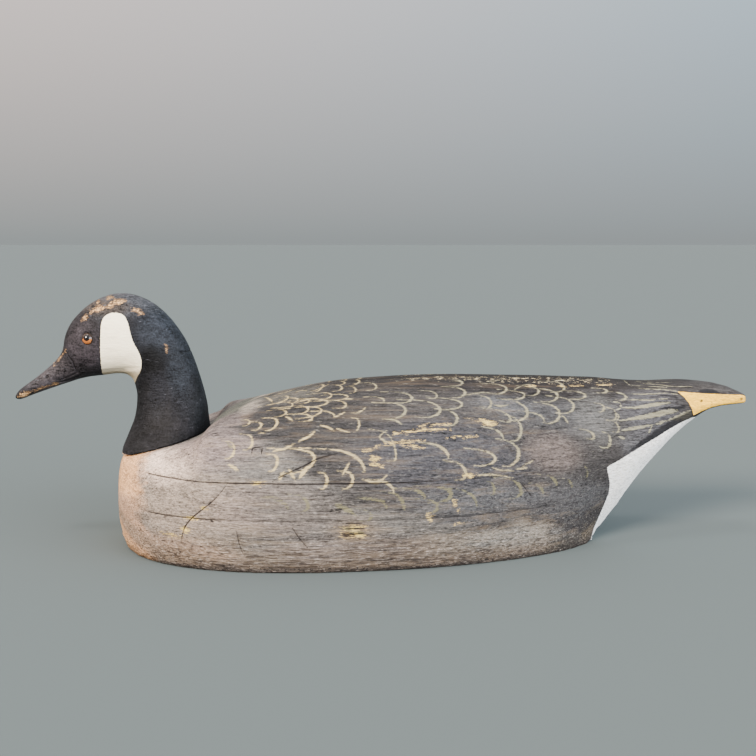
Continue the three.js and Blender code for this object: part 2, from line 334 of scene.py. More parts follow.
def put_in_place(
    piece: Piece, node: str, slot: str, finish: bpy.types.Material, sharp_deg: float = 180.0
) -> None:
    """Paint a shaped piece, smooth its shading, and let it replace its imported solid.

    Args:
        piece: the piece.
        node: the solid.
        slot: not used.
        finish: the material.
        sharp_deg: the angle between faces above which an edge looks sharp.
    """
    piece.data.materials.append(finish)
    only(piece)
    bpy.ops.object.shade_smooth_by_angle(angle=math.radians(sharp_deg))
    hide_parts(node)
    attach(piece, "root")
    LOG.info("%s has %d faces", piece.name, len(piece.data.polygons))


def add(
    tree: bpy.types.NodeTree, kind: str, sockets: dict | None = None, **settings: object
) -> bpy.types.Node:
    """Add one node to a material, with its settings, and its sockets set or linked.

    Args:
        tree: the material's node tree.
        kind: the node's type, after the word ShaderNode.
        sockets: for each input, by name or number, a value, a hex colour, or the output that feeds it.
        settings: the node's own settings.

    Returns:
        The new node.
    """
    made = tree.nodes.new("ShaderNode" + kind)
    for name, value in settings.items():
        setattr(made, name, value)
    for key, value in (sockets or {}).items():
        if isinstance(value, Socket):
            tree.links.new(value, made.inputs[key])
        else:
            made.inputs[key].default_value = linear(value) if isinstance(value, str) else value
    return made


@dataclass(frozen=True)
class Stroke:
    """One run of the brush, or of a crack, on the unrolled skin: along the body and round its girth."""

    points: tuple[Pair, ...]
    brush: float = 3.0

    def line(self) -> Array:
        """Return the middle line of the stroke."""
        return smooth_line(self.points, steps=4)

    def cover(self, places: Array) -> Array:
        """Measure how deep places lie inside the stroke, which thins out at both ends.

        Args:
            places: one place per row, along the body and round its girth.

        Returns:
            The depth, above zero under the brush.
        """
        line = self.line()
        reach = self.brush + MARGIN
        low, high = line.min(0) - reach, line.max(0) + reach
        near = np.all((places > low) & (places < high), axis=1)
        depth = np.full(len(places), -reach)
        away, passed = distance_to_line(places[near], line)
        depth[near] = HALF_BRUSH * self.brush * self.pressure(passed) - away
        return depth

    def pressure(self, passed: Array) -> Array:
        """Share of the brush that touches, by how much of the stroke is done."""
        return np.clip(4 * passed * (1 - passed), 0.2, 1)


@dataclass(frozen=True)
class FeatherEdge(Stroke):
    """A stroke round the end of a feather, given by the feather's tip.

    The stroke starts in front of the tip and above it, rounds the tip, and may come back below it.
    """

    points: tuple[Pair, ...] = ()
    along: float = 0.0
    girth: float = 0.0
    back: float = 12.0
    above: float = 9.0
    below: float = 9.0

    def line(self) -> Array:
        """Draw the middle line, two quarters of an oval that meet at the tip.

        Returns:
            The points of the line, along the body and round its girth.
        """
        turn = np.radians(np.linspace(-85, 75 if self.below else 5, 13))
        upper = turn < 0
        back = np.where(upper, self.back, self.back * min(1.0, self.below / self.above))
        reach = np.where(upper, self.above, self.below)
        arc = np.column_stack([self.along - back * (1 - np.cos(turn)), self.girth + reach * np.sin(turn)])
        lead = arc[0] - np.outer((0.75, 0.5, 0.25), (self.back, 0.1 * self.above))
        tail = arc[-1] - np.outer((0.2, 0.4) if self.below else (0.02, 0.04), (self.back, 0.0))
        return np.vstack([lead, arc, tail])

    def pressure(self, passed: Array) -> Array:
        """The brush starts on its tip, is pressed round the end of the feather, and lifts off."""
        return 0.18 + 0.82 * ease(passed, 0.15, 0.5) * ease(passed, 0.95, 0.66)


@dataclass(frozen=True)
class Patch:
    """An oval patch on the unrolled skin, such as bare wood where the paint has gone."""

    along: float
    girth: float
    reach: float
    height: float

    def away(self, places: Array) -> Array:
        """Measure how far places lie from the middle, which is 1 at the patch's edge."""
        return np.hypot((places[:, 0] - self.along) / self.reach, (places[:, 1] - self.girth) / self.height)

    def cover(self, places: Array) -> Array:
        """Measure how deep places lie inside the patch, above zero inside it."""
        return (1 - self.away(places)) * min(self.reach, self.height)


def deepest(marks: Iterable, places: Array) -> Array:
    """Lay several marks over one another.

    Args:
        marks: strokes or patches.
        places: one place per row, on the sheet that the marks are drawn on.

    Returns:
        How deep each place lies in any of the marks.
    """
    depth = np.full(len(places), FAR_OUTSIDE)
    for mark in marks:
        depth = np.maximum(depth, mark.cover(places))
    return depth


def edges(rows: Sequence[tuple[float, ...]]) -> list[FeatherEdge]:
    """Make feather edges from rows of tip, back, above, below and brush."""
    return [FeatherEdge((), brush, *edge) for *edge, brush in rows]


def strokes(rows: Sequence[tuple[float, ...]]) -> list[Stroke]:
    """Make strokes from rows of the brush and then both numbers of each place."""
    return [Stroke(tuple(zip(row[1::2], row[2::2])), row[0]) for row in rows]


# The feathers' cream edges. Those of the first part are rows of the tip's place along the body and
# round the girth from the crest, how far the stroke starts ahead of it, above it and below it, and
# the brush. All other rows are the brush and then the places that the stroke runs through.
BACK_FEATHERS = edges([
    (-51, 12, 10, 14, 18, 2.1), (-31, 10, 8, 12, 10, 1.9), (-17, 12, 9, 14, 15, 2.2),
    (-33, 33, 16, 22, 7, 2.2), (-1, 38, 13, 17, 8, 2.1), (-20, 42, 6, 12, 7, 2.1), (-27, 56, 16, 8, 5, 2.2),
    (-42, 50, 14, 10, 8, 2.2), (-83, 38, 8, 11, 9, 2.4), (-73, 51, 11, 11, 5, 2.1),
    (-62, 57, 11, 7, 4, 1.9), (-45, 63, 18, 9, 7, 2.4), (-77, 61, 13, 11, 6, 2.1), (-82, 75, 11, 8, 6, 2.2),
    (-62, 74, 16, 10, 6, 2.1), (-28, 71, 18, 11, 4, 2.1), (-50, 77, 20, 9, 10, 2.4),
    (-58, 88, 18, 9, 3, 2.8), (-38, 87, 13, 9, 0, 2.2), (31, 62, 17, 11, 8, 3.2), (25, 80, 18, 11, 11, 2.9),
    (56, 78, 23, 13, 10, 3.2), (-103, 92, 7, 6, 7, 3.1), (-89, 90, 9, 9, 10, 3.6),
    (-109, 113, 7, 9, 8, 2.9), (-114, 86, 5, 5, 6, 2.1), (-54, 129, 25, 9, 13, 3.3),
    (-11, 140, 34, 19, 0, 3.6), (-21, 146, 8, 6, 8, 3.4), (-16, 96, 4, 7, 8, 1.9),
    (16, 127, 15, 24, 4, 2.2), (54, 58, 10, 9, 4, 2.3), (76, 68, 19, 7, 9, 2.7), (71, 87, 12, 10, 9, 3),
    (80, 50, 13, 9, 10, 3), (79, 30, 12, 10, 9, 2.3), (119, 38, 14, 8, 11, 3), (135, 46, 15, 5, 9, 2.5),
    (103, 62, 7, 8, 9, 3), (136, 68, 16, 12, 13, 3.6), (120, 80, 17, 10, 3, 2.5),
    (129, 89, 9, 13, 15, 3), (151, 75, 14, 7, 0, 2.3), (149, 38, 12, 6, 9, 2.3),
    (166, 43, 14, 8, 10, 3), (166, 65, 14, 10, 13, 3), (180, 55, 15, 10, 10, 2.7),
    (192, 41, 13, 5, 6, 2.5), (174, 30, 13, 10, 9, 2.5), (213, 33, 8, 3, 4, 2.3), (230, 40, 11, 6, 4, 2.3),
    (208, 54, 5, 4, 5, 2.8), (197, 86, 8, 6, 4, 3.8), (213, 88, 5, 8, 9, 2.5), (126, 115, 13, 11, 17, 4),
    (104, 124, 17, 7, 9, 3.6), (62, 127, 20, 13, 0, 4), (77, 141, 12, 11, 6, 4),
    (112, 103, 12, 10, 0, 3), (6, 67, 11, 8, 0, 2.1), (-124, 121, 7, 9, 8, 2.6), (-86, 131, 6, 6, 9, 3.1),
    (-43, 147, 5, 6, 7, 3.4), (14, 157, 16, 10, 0, 3.1), (219, 60, 5, 6, 7, 2.1), (221, 74, 7, 7, 4, 2.1),
]) + strokes([
    (2.6, -108, 4, -101, 28, -97, 44), (2.2, -97, 61, -88, 64, -79, 69), (2.6, -38, 87, -33, 84, -29, 81),
    (2.2, -30, 60, -22, 61), (3, -82, 82, -75, 89), (2.2, -105, 102, -99, 103),
    (3, -68, 113, -60, 109, -55, 104), (3.2, -90, 122, -80, 120, -72, 116),
    (5.4, -60, 136, -63, 140, -67, 146), (3.4, -50, 97, -44, 99, -38, 103), (2.4, -36, 101, -24, 105),
    (3, 10, 91, 16, 92, 21, 96), (3.2, 105, 65, 112, 65, 119, 62), (2.4, 167, 66, 171, 70, 173, 75),
    (2.4, 101, 134, 110, 136, 121, 136), (3.2, 123, 134, 133, 132), (4.2, -128, 134, -119, 139),
    (4.2, -80, 140, -84, 147), (3.8, -76, 138, -70, 147), (3.4, -10, 147, 0, 149, 8, 143),
    (2.2, 8, 103, 2, 110, 14, 117), (3, -30, 143, -24, 133), (2, 130, 130, 140, 122),
    (2.6, 84, 143, 100, 141, 121, 144), (2.4, -110, 52, -100, 51, -90, 49.6, -84.5, 46, -82, 38),
    (2.2, -99, 14, -93, 7, -86, 7.5, -78.6, 1), (2, -76.7, 21, -72, 18, -65.7, 26),
    (2.4, -60, 34, -54.7, 32, -52, 21, -46.8, 8), (2.6, -81, 42, -70, 50, -60.7, 52, -51, 57, -41.7, 62.7),
    (1.8, -23, 82.6, -17.3, 82, -12.9, 79, -10.6, 75), (2, -60, 58.4, -65, 54.7, -70, 55, -73.8, 57.4),
    (2, 78.7, 55, 88.7, 51, 98.7, 48, 106, 49), (2, 70, 26, 75.7, 26, 79.6, 32),
    (1.8, 102.6, 24.7, 109, 23.4, 114.4, 19), (1.8, 126.6, 38.7, 136, 30, 145, 28.4),
])

# The olive edges that show faintly on the lower flank
FLANK_FEATHERS = edges([
    (-76, 170, 18, 9, 0, 4.1), (-59, 167, 13, 9, 4, 4.6), (8, 170, 15, 9, 0, 4.9),
    (23, 171, 13, 14, 0, 5.2), (41, 163, 16, 9, 0, 5.2), (64, 160, 20, 8, 7, 5.5),
    (87, 173, 20, 18, 0, 4.3), (103, 158, 5, 10, 4, 4.9), (128, 160, 15, 15, 8, 6.1),
    (149, 166, 10, 15, 0, 4.9), (162, 155, 12, 15, 0, 5.5), (177, 160, 8, 16, 0, 4.3),
    (52, 171, 15, 8, 4, 4.9), (-5, 176, 12, 6, 4, 4.3),
]) + strokes([
    (7, -37, 166, -28, 169, -18, 175), (3.6, -20, 161, -6, 162, 4, 164), (2.4, -98, 160, -84, 160),
    (4.5, -132, 112, -128, 117, -125, 118), (2.6, 188, 122, 192, 132, 191, 145),
    (9, -31, 184, -20, 188, -10, 190),
])

# The long feathers of the folded wing and the tail, and the near-black paint between them
WING_STRIPES = strokes([
    (5.2, 223, 52, 237, 50.6, 252, 46.7, 262, 44.5, 271, 42.8),
    (6.4, 221, 66, 237, 60.6, 256, 54.5, 267, 50, 279, 45.3), (1.6, 253.5, 63.4, 263, 58.1, 273.5, 52.1),
    (4.4, 270, 53.8, 284, 46.4, 293.4, 42.2), (4.4, 220.8, 76.1, 236.5, 69.9, 253.5, 63.4),
    (1.8, 253.5, 63.4, 250, 70.8), (4.6, 221, 81.2, 227.5, 82.4),
    (2.2, 212.4, 80.6, 211.8, 90, 210.1, 96.2), (3, 201.6, 96.1, 205.7, 97.7, 210.1, 96.2),
    (1.6, 234, 1, 235.6, 16, 238.5, 25), (2, 238.5, 25, 259, 28.3, 280, 32.7),
    (2, 232, 35.3, 258, 34.6, 281, 35.2), (2, 224, 43.2, 236.3, 42.2, 249.8, 41.8, 268.5, 40.1),
    (2.2, 242, 12, 261, 17.3, 276, 24.9, 294, 25.5), (1.6, 238, 20, 255, 22, 274, 28),
    (2.2, 222.7, 35.3, 229.5, 37.1, 231.7, 41.6), (1.6, 246, 6, 262, 9, 284, 13),
    (2.4, 217.8, 46.7, 223.6, 47.2, 223.5, 52.2, 219.1, 55.2), (2.4, 217.9, 57.9, 221.3, 61, 218.4, 67.8),
])
DARK_STRIPES = strokes([
    (12, 299, 30.8, 309, 30.3, 320, 28.7), (5, 282, 2.7, 294, 4, 305, 1.8),
    (3.4, 252, 38.6, 266, 37.4, 281, 38.4), (2.4, 258, 30.5, 272, 33.2, 290, 37),
    (3, 262, 48.5, 276, 45, 290, 40), (3, 262, 13, 276, 18, 296, 20),
])

# Where the paint is gone and the wood shows, in chips and along the grain
BARE_WOOD = [Patch(*row) for row in (
    (99, 87, 6, 3.2), (93, 86, 5, 1), (-2, 129, 3.4, 2), (-20, 184, 5.5, 0.8), (-21, 188, 4.5, 0.7),
    (-20, 192, 5, 0.8), (45, 178, 2.7, 1.9), (46, 182, 1.2, 1.3), (67, 168, 1.5, 2.2), (71, 176, 1.6, 0.9),
    (71, 187, 2.4, 0.9), (-161, 181, 5, 1.5), (-167, 192, 4, 2.6), (-182, 200, 7, 1.6), (-102, 149, 4, 1.4),
    (-150, 171, 3, 1.2), (80, 142, 5, 1.8),
)] + strokes([
    (2.8, 14, 106, 28, 104, 42, 101, 64, 99), (2.1, -3, 119, 10, 116, 24, 114, 42, 111),
    (2.8, 20, 116, 30, 117, 40, 119), (1.4, 36, 97, 50, 95, 66, 93), (3.4, 138, 32, 149, 30),
    (2.6, 168, 29, 175, 28), (2.8, 181, 27, 192, 26), (4, 206, 24, 220, 22), (2.4, -12, 121, -4, 122),
    (1.8, -7, 134, 8, 136), (1.8, 75, 106, 88, 104), (1.4, 60, 108, 74, 105),
])
CRACKS = strokes([
    (1.1, -128, 149, -138, 161, -152, 173, -160, 180, -167, 189, -170, 198, -172, 207),
    (1.3, -90, 148, -76, 141, -62, 135, -50, 129, -31, 124), (0.9, -73, 184, -68, 191, -60, 200),
    (0.9, 127, 149, 132, 157, 139, 170), (0.6, -121, 188, -119, 198, -116, 206),
    (1.7, -109, 125, -108, 119, -101, 118), (1.7, -100, 119, -100.5, 125), (2.2, -144, 181, -141, 182),
    (1.4, -30, 186, -21, 185.6, -11, 186), (1.6, -31, 190, -20, 190.4, -12, 190),
    (1.2, -27, 181.5, -13, 181.6),
])
PIN_HOLES = [Patch(*row, 1.1, 1.1) for row in (
    (-137, 102), (-138, 137), (-152, 131), (-200, 188), (-203, 207), (193, 148), (-139, 128),
)]

# Where the dark paint of the back begins, and in the side view the edges of the white rump, of the
# flat that a saw left under the tail, and of the white cheek
BACK_PAINT = np.vstack([smooth_line([
    (-104, -20), (-106, 30), (-102, 50), (-110, 68), (-121, 88), (-116, 104), (-98, 113), (-76, 124),
    (-54, 146), (-30, 158), (10, 168), (55, 184), (90, 196), (127, 205), (147, 212), (167, 228), (190, 264),
    (260, 320),
]), [(430, 320), (430, -20)]])
WHITE_RUMP = np.vstack([smooth_line([
    (294.5, 121.5), (282, 117), (262, 107), (241.7, 96), (223.4, 85.2), (213.5, 80), (211.8, 77.5),
    (213.7, 71), (216.3, 63), (217.3, 56), (216.8, 47), (214, 34), (209, 15), (203, -6),
], steps=3), [(203, -40), (430, -40), (430, 160), (300, 121.5)]])
SAWN_FLAT = np.array([
    (279, 146.4), (284.7, 141.6), (289.5, 135.9), (292.6, 130.3), (295, 123.5), (300.8, 126.5),
    (308.4, 129.8), (320, 131.8), (331.7, 132.8), (348, 133), (348, 141.7), (330, 142.7), (315, 143.6),
    (300, 144.6),
], float)
CHEEK_PATCH = smooth_line([
    (-241.9, 219.6), (-246.4, 218.9), (-250.1, 217.2), (-252.8, 213.9), (-254.3, 209.5), (-254.8, 204),
    (-255.3, 195), (-255.9, 185.4), (-256.6, 175.8), (-258, 165.5), (-259.3, 160.5), (-259, 150),
    (-240, 146), (-230, 151.5), (-225.1, 158.6), (-221.2, 164.2), (-219.1, 171.1), (-219.2, 177.8),
    (-221.4, 184.4), (-224.6, 191), (-227.1, 198.4), (-228.7, 205.8), (-230.6, 212.2), (-233.5, 216.8),
    (-237.3, 218.9),
], closed=True, steps=4)
NAILS = [Patch(341, 138.4, 1.5, 1.3), Patch(301.7, 137.6, 1.7, 1.2), Patch(312, 136, 0.8, 0.6)]

# The same rows, for places in the side view of the head
HEAD_CREASES = strokes([
    (2.8, -290, 183, -286.5, 176.5, -284, 174, -282.5, 167, -279.4, 161),
    (2.8, -279.6, 160.4, -293, 154.8, -304.6, 152.3), (1.8, -281, 163.2, -293, 157.6, -303, 154.6),
    (1.2, -190, 184, -182, 182, -175, 181.5), (6, -312.5, 158.2, -309.5, 158.6),
    (2.6, -300.5, 155.2, -299, 154.8),
])
JAW_FOLD = Stroke(((-257.5, 164), (-243.5, 165.6), (-234, 166.8), (-221, 168)), 4.6)
HEAD_CHIPS = strokes([
    (6, -274, 212.5, -268, 216.5), (5, -269, 217, -262, 222.5, -255, 225.5),
    (9, -264, 222.5, -252, 223.8), (6.4, -252, 224, -243, 227), (8, -247, 229, -234, 229.5),
    (4, -253, 232.5, -247, 233.5), (4, -262, 228.5, -259, 229), (5, -228, 224, -217, 218),
    (7.6, -341, 138.6, -329, 143.5), (4, -307, 151.2, -303, 150.6),
    (1.2, -331, 142, -316, 147.5, -302, 152), (3, -310, 172.5, -306, 171),
    (1, -305, 169.5, -294, 181, -291, 185), (1.8, -197, 189, -195.5, 183),
])


@dataclass(frozen=True)
class Tint(Patch):
    """A patch with a soft edge in which the ground has another colour."""

    colour: str
    strength: float = 1.0


# Soft changes of colour, each with the place and reach of its middle: on the body along and round
# the girth, but by height near the base, and on the head in the side view
# On the flank, the pale row at (-117, 40) is a painted highlight along the shoulder ridge behind the neck,
# and the greenish grey row at (-140, 22) is the hollow behind the neck, partly its paint and partly painted
# shade; the other rows are tones of the paint
FLANK_TINTS_HIGHLIGHT_AND_SHADE = [Tint(*row) for row in (
    (-170, 175, 60, 40, "#85796e"), (-188, 122, 36, 28, "#cfb9a8"), (-146, 108, 45, 32, "#796c68", 0.85),
    (-128, 80, 36, 30, "#685f5c"), (-140, 22, 44, 36, "#52534d"), (-117, 40, 11, 34, "#93897d", 0.7),
    (-90, 170, 60, 20, "#80726a", 0.6), (-40, 205, 60, 14, "#756c67", 0.8),
    (-165, 212, 50, 12, "#8f7a6b", 0.9), (10, 204, 50, 10, "#574f49", 0.7), (90, 206, 60, 12, "#64615c"),
    (176, 203, 34, 9, "#7a7369"), (-70, 168, 45, 15, "#56534f", 0.65), (-21, 188, 12, 7, "#463e2b", 0.9),
    (-113, 74, 12, 8, "#6a5a4b", 0.6), (0, 219, 260, 7, "#504c49", 0.7),
)]
LOW_TINTS = [Tint(*row) for row in (
    (0, 3, 330, 9, "#695e55", 0.75), (120, 24, 42, 10, "#7f7d77", 0.8), (175, 5, 26, 10, "#534f48", 0.8),
    (200, 14, 10, 15, "#605546", 0.85), (-20, 40, 24, 12, "#716356", 0.5),
    (-185, 12, 40, 10, "#806e5e", 0.7), (20, 19, 42, 13, "#57504c", 0.7),
)]
# On the back, the near-black row at (110, 2) darkens the crest beyond the back's own paint, as painted
# shade on the top; the other rows are tones of the paint
BACK_TINTS_AND_CREST_SHADE = [Tint(*row) for row in (
    (-55, 80, 60, 60, "#323131"), (60, 125, 80, 40, "#3c3c3f"), (150, 55, 70, 34, "#424243"),
    (118, 62, 30, 12, "#545557", 0.6), (190, 190, 60, 44, "#454444"), (110, 2, 190, 36, "#1b1918", 0.95),
    (120, 34, 150, 20, "#232121", 0.8), (158, 112, 27, 24, "#5a524e", 0.95),
    (244, 86, 22, 20, "#535355", 0.8), (200, 65, 22, 30, "#5a5a58", 0.6), (60, 188, 60, 5, "#49494a"),
    (-80, 26, 30, 30, "#53514b", 0.7), (95, 167, 75, 15, "#4a4a4b", 0.85),
    (252, 52, 34, 22, "#4e4e51", 0.8),
)]
BREAST_TINTS = [Tint(*row) for row in (
    (-225, 200, 50, 34, "#a3866f"), (-215, 219, 60, 13, "#8b7867", 0.9),
)]
# On the head, the bluish rows at (-203, 203) and (-184, 168) are a painted sheen on the back of the head
# and the nape, and the near-black row at (-167, 142) is painted shade down the back edge of the neck; the
# other rows are tones of the paint
HEAD_TINTS_SHEEN_AND_SHADE = [Tint(*row) for row in (
    (-203, 203, 20, 24, "#202328", 0.9), (-184, 168, 14, 30, "#191c20", 0.8),
    (-209, 176, 14, 16, "#0a0a0a", 0.9), (-272, 190, 20, 26, "#2b272a", 0.9),
    (-245, 228, 40, 14, "#343538", 0.8), (-308, 160, 32, 20, "#353133", 0.9),
    (-214, 130, 26, 32, "#131315", 0.9), (-190, 108, 30, 22, "#121113", 0.8),
    (-205, 142, 9, 22, "#18191d", 0.7), (-225, 100, 14, 12, "#121213", 0.7),
    (-254, 224, 26, 7, "#3f352c", 0.6), (-167, 142, 9, 36, "#0d0e10", 0.8),
)]


def tinted(places: Array, base: str | Array, tints: Iterable[Tint]) -> Array:
    """Blend soft tints over a base colour.

    Args:
        places: one place per row, on the skin's sheet.
        base: the colour under all of them, or one linear colour for each place.
        tints: the tints, from the lowest to the uppermost.

    Returns:
        One linear colour for each place.
    """
    ground = np.tile(np.array(linear(base)), (len(places), 1)) if isinstance(base, str) else base
    for tint in tints:
        share = tint.strength * ease(tint.away(places), 1.35, 0.45)[:, None]
        ground = ground * (1 - share) + np.array(linear(tint.colour)) * share
    return ground


class Surface:
    """A material that is laid up coat by coat, as paint is on wood."""

    def __init__(self, name: str) -> None:
        """Start a material whose patterns hang on the place in the model.

        Args:
            name: the material's name.
        """
        self.material = bpy.data.materials.new(name)
        self.material.use_nodes = True
        self.tree = self.material.node_tree
        self.shader = self.tree.nodes["Principled BSDF"]
        self.place = add(self.tree, "TexCoord").outputs["Object"]
        self.colour: object = None

    def pattern(
        self, size: Triple, detail: float = 3.0, rough: float = 0.55, bend: float = 0.0
    ) -> Socket:
        """Spread a random pattern over the piece.

        Args:
            size: how large one patch is along X, Y and Z, in millimetres.
            detail: how many finer patterns are laid over it.
            rough: how strong those are.
            bend: how far the pattern wanders.

        Returns:
            The pattern, mostly from 0 to 1, with its middle at 0.5.
        """
        scale = [1 / (length * MM) for length in size]
        mapped = add(self.tree, "Mapping", {"Vector": self.place, "Scale": scale})
        sockets = {"Vector": mapped.outputs[0], "Scale": 1.0, "Detail": detail, "Roughness": rough}
        noise = add(self.tree, "TexNoise", {**sockets, "Distortion": bend}).outputs[0]
        stretched = {"Value": noise, "From Min": 0.28, "From Max": 0.72}
        return add(self.tree, "MapRange", stretched, clamp=False).outputs[0]

    def between(self, mark: str, low: str, high: str) -> Socket:
        """Run from one colour to another as a mark runs from 0 to 1."""
        share = add(self.tree, "Attribute", attribute_name=mark).outputs["Fac"]
        return add(self.tree, "Mix", {0: share, 6: low, 7: high}, data_type="RGBA").outputs[2]

    def toned(self, colour: object, swings: Iterable[tuple[Socket, float]]) -> Socket:
        """Make a colour lighter and darker by patterns.

        Args:
            colour: the colour, or the output that gives it.
            swings: each pattern, with how strongly it swings the brightness.

        Returns:
            The output that gives the toned colour.
        """
        level: object = 1.0
        for pattern, swing in swings:
            centred = add(self.tree, "Math", {0: pattern, 1: 0.5}, operation="SUBTRACT")
            swung = {0: centred.outputs[0], 1: swing, 2: level}
            level = add(self.tree, "Math", swung, operation="MULTIPLY_ADD").outputs[0]
        return add(self.tree, "HueSaturation", {"Color": colour, "Value": level}).outputs[0]

    def coat(
        self,
        mark: str,
        over: object,
        pattern: Socket,
        ragged: float,
        soft: float = 0.4,
        share: float = 1.0,
        start: float = 0.0,
    ) -> Socket:
        """Lay a colour on wherever a mark is above a level that a pattern makes ragged.

        Args:
            mark: the mark's name on the piece.
            over: the colour, or the output that gives it.
            pattern: what frays the edge.
            ragged: how far it moves the edge, in the mark's own measure.
            soft: half the width over which the edge fades.
            share: how much the coat hides of what lies below.
            start: the level at which the coat starts.

        Returns:
            How much the coat covers.
        """
        depth = add(self.tree, "Attribute", attribute_name=mark).outputs["Fac"]
        frayed = add(self.tree, "Math", {0: pattern, 1: ragged, 2: depth}, operation="MULTIPLY_ADD")
        middle = start + ragged / 2
        edge = {"From Min": middle - soft, "From Max": middle + soft, "To Max": share}
        edge["Value"] = frayed.outputs[0]
        cover = add(self.tree, "MapRange", edge, interpolation_type="SMOOTHSTEP").outputs[0]
        colours = {0: cover, 6: self.colour, 7: over}
        self.colour = add(self.tree, "Mix", colours, data_type="RGBA").outputs[2]
        return cover

    def relief(self, heights: Iterable[tuple[Socket, float]]) -> None:
        """Raise the surface by patterns and coats.

        Args:
            heights: each pattern or coat, with its height in millimetres.
        """
        total: object = 0.0
        for height, size in heights:
            sockets = {0: height, 1: size, 2: total}
            total = add(self.tree, "Math", sockets, operation="MULTIPLY_ADD").outputs[0]
        bump = add(self.tree, "Bump", {"Height": total, "Distance": MM, "Strength": 1.0})
        self.tree.links.new(bump.outputs[0], self.shader.inputs["Normal"])

    def finish(self, roughness: float, specular: float) -> bpy.types.Material:
        """Give the shader its colour and its gloss.

        Args:
            roughness: how matt the surface is.
            specular: how strongly it reflects.

        Returns:
            The material.
        """
        self.tree.links.new(self.colour, self.shader.inputs["Base Color"])
        self.shader.inputs["Roughness"].default_value = roughness
        self.shader.inputs["Specular IOR Level"].default_value = specular
        return self.material


@dataclass(frozen=True)
class WeatheredOilPaint:
    """Old flat oil paint on white pine, brushed thin and dried out by weather.

    It is matt and chalky, the grain of the pine shows through it as fine lines along the boards, and
    it has come off at the seams, along the ridge and where the bird was handled.
    """

    warm_dust: str = "#7d694f"
    undercoat: str = "#817d75"
    soot: str = "#2a2725"
    chalk: str = "#b0a69c"
    split: str = "#272220"
    olive: str = "#736e50"
    cream: str = "#b29f73"
    dull_cream: str = "#878169"
    wing: str = "#8b8770"
    band: str = "#202022"
    white: str = "#f7f6f0"
    pine: str = "#c3ab66"
    grey_pine: str = "#9c8664"
    rubbed_pine: str = "#f0dfb4"
    sawn_pine: str = "#f6c041"
    # Cracks, pits, joints and nail holes, and the painted contact shadow along the foot of the base
    gap_and_contact_shadow: str = "#1b1716"
    roughness: float = 0.82
    specular: float = 0.1

    def material(self) -> bpy.types.Material:
        """Lay up the paint of the body.

        Returns:
            The material.
        """
        surface = Surface("weathered_oil_paint_on_pine")
        coat, toned = surface.coat, surface.toned
        # The growth rings of pine lie a few millimetres apart, and the brush hairs are finer still
        grain = surface.pattern((20, 1.9, 1.4), 5, 0.66, 0.45)
        rings = surface.pattern((80, 11, 5.0), 4, 0.6, 0.5)
        cloud = surface.pattern((55, 40, 26), 3)
        flakes = surface.pattern((7, 2.6, 1.8), 4, 0.65)
        dry = surface.pattern((6, 1.6, 1.3), 3, 0.7, 0.4)
        speckle = surface.pattern((2.6, 1.3, 1.2), 2, 0.6)
        fissures = surface.pattern((24, 2.2, 1.2), 4, 0.6, 0.5)
        ground = add(surface.tree, "Attribute", attribute_name="ground").outputs["Color"]
        swings = ((grain, 1.1), (rings, 0.65), (cloud, 0.3), (dry, 0.65), (speckle, 0.8))
        surface.colour = toned(ground, swings)
        # Films of dust, soot and chalk drift over the ground, and where the dark paint of the back
        # has worn thin its paler undercoat shows in streaks
        coat("warm", self.warm_dust, rings, 1.0, 0.35, 0.3)
        coat("thin", self.undercoat, flakes, 1.6, 0.25, 0.5)
        coat("soot", self.soot, grain, 1.6, 0.4, 0.5)
        coat("chalk", self.chalk, dry, 1.5, 0.3, 0.5)
        splits = coat("splits", self.split, fissures, 1.0, 0.07, 0.66)
        coat("olive", self.olive, dry, 2.6, 0.55, 0.66, 0.2)
        # A dry brush leaves a broken fringe beside the part that it covers
        cream = toned(surface.between("fresh", self.dull_cream, self.cream), ((grain, 0.7), (dry, 0.6)))
        coat("feather", cream, dry, 2.4, 0.6, 0.28, -0.45)
        strokes_on = coat("feather", cream, dry, 1.3, 0.3, 0.95, -0.02)
        coat("dark", self.band, flakes, 1.4, 0.6, 0.9)
        stripes = coat("wing", toned(self.wing, ((grain, 0.7), (dry, 0.5))), dry, 1.6, 0.35, 0.85)
        coat("band", self.band, flakes, 2.6, 1.4, 0.9)
        rump = coat("rump", toned(self.white, ((grain, 0.8), (speckle, 0.45))), speckle, 0.6, 0.3)
        # Each chip shows fresh pine inside a rim of greyed wood
        pine = toned(self.pine, ((grain, 0.9), (speckle, 1.0), (flakes, 0.7)))
        coat("bare", self.grey_pine, dry, 5.0, 0.5, 0.7, -0.3)
        chips = coat("bare", pine, dry, 6.0, 0.8, 0.92, 0.5)
        rubbed = coat("ridge", self.rubbed_pine, dry, 3.4, 0.25, 0.92)
        coat("pits", self.gap_and_contact_shadow, speckle, 2.4, 0.14, 0.85)
        coat("crack", self.gap_and_contact_shadow, flakes, 0.6, 0.3, 0.9, -0.25)
        # The seam mark darkens the glued joints, and along the foot of the base it paints a contact shadow
        coat("seam", self.gap_and_contact_shadow, flakes, 0.7, 0.28, 0.88)
        sawn = toned(self.sawn_pine, ((grain, 0.5), (speckle, 0.4), (cloud, 0.2)))
        coat("sawn", sawn, speckle, 0.3, 0.2)
        coat("nail", self.gap_and_contact_shadow, speckle, 0.4, 0.4, 0.9)
        surface.relief((
            (grain, 0.75), (dry, 0.3), (flakes, 0.2), (strokes_on, 0.12), (stripes, 0.08), (rump, 0.1),
            (chips, -0.25), (rubbed, -0.15), (splits, -0.4),
        ))
        return surface.finish(self.roughness, self.specular)


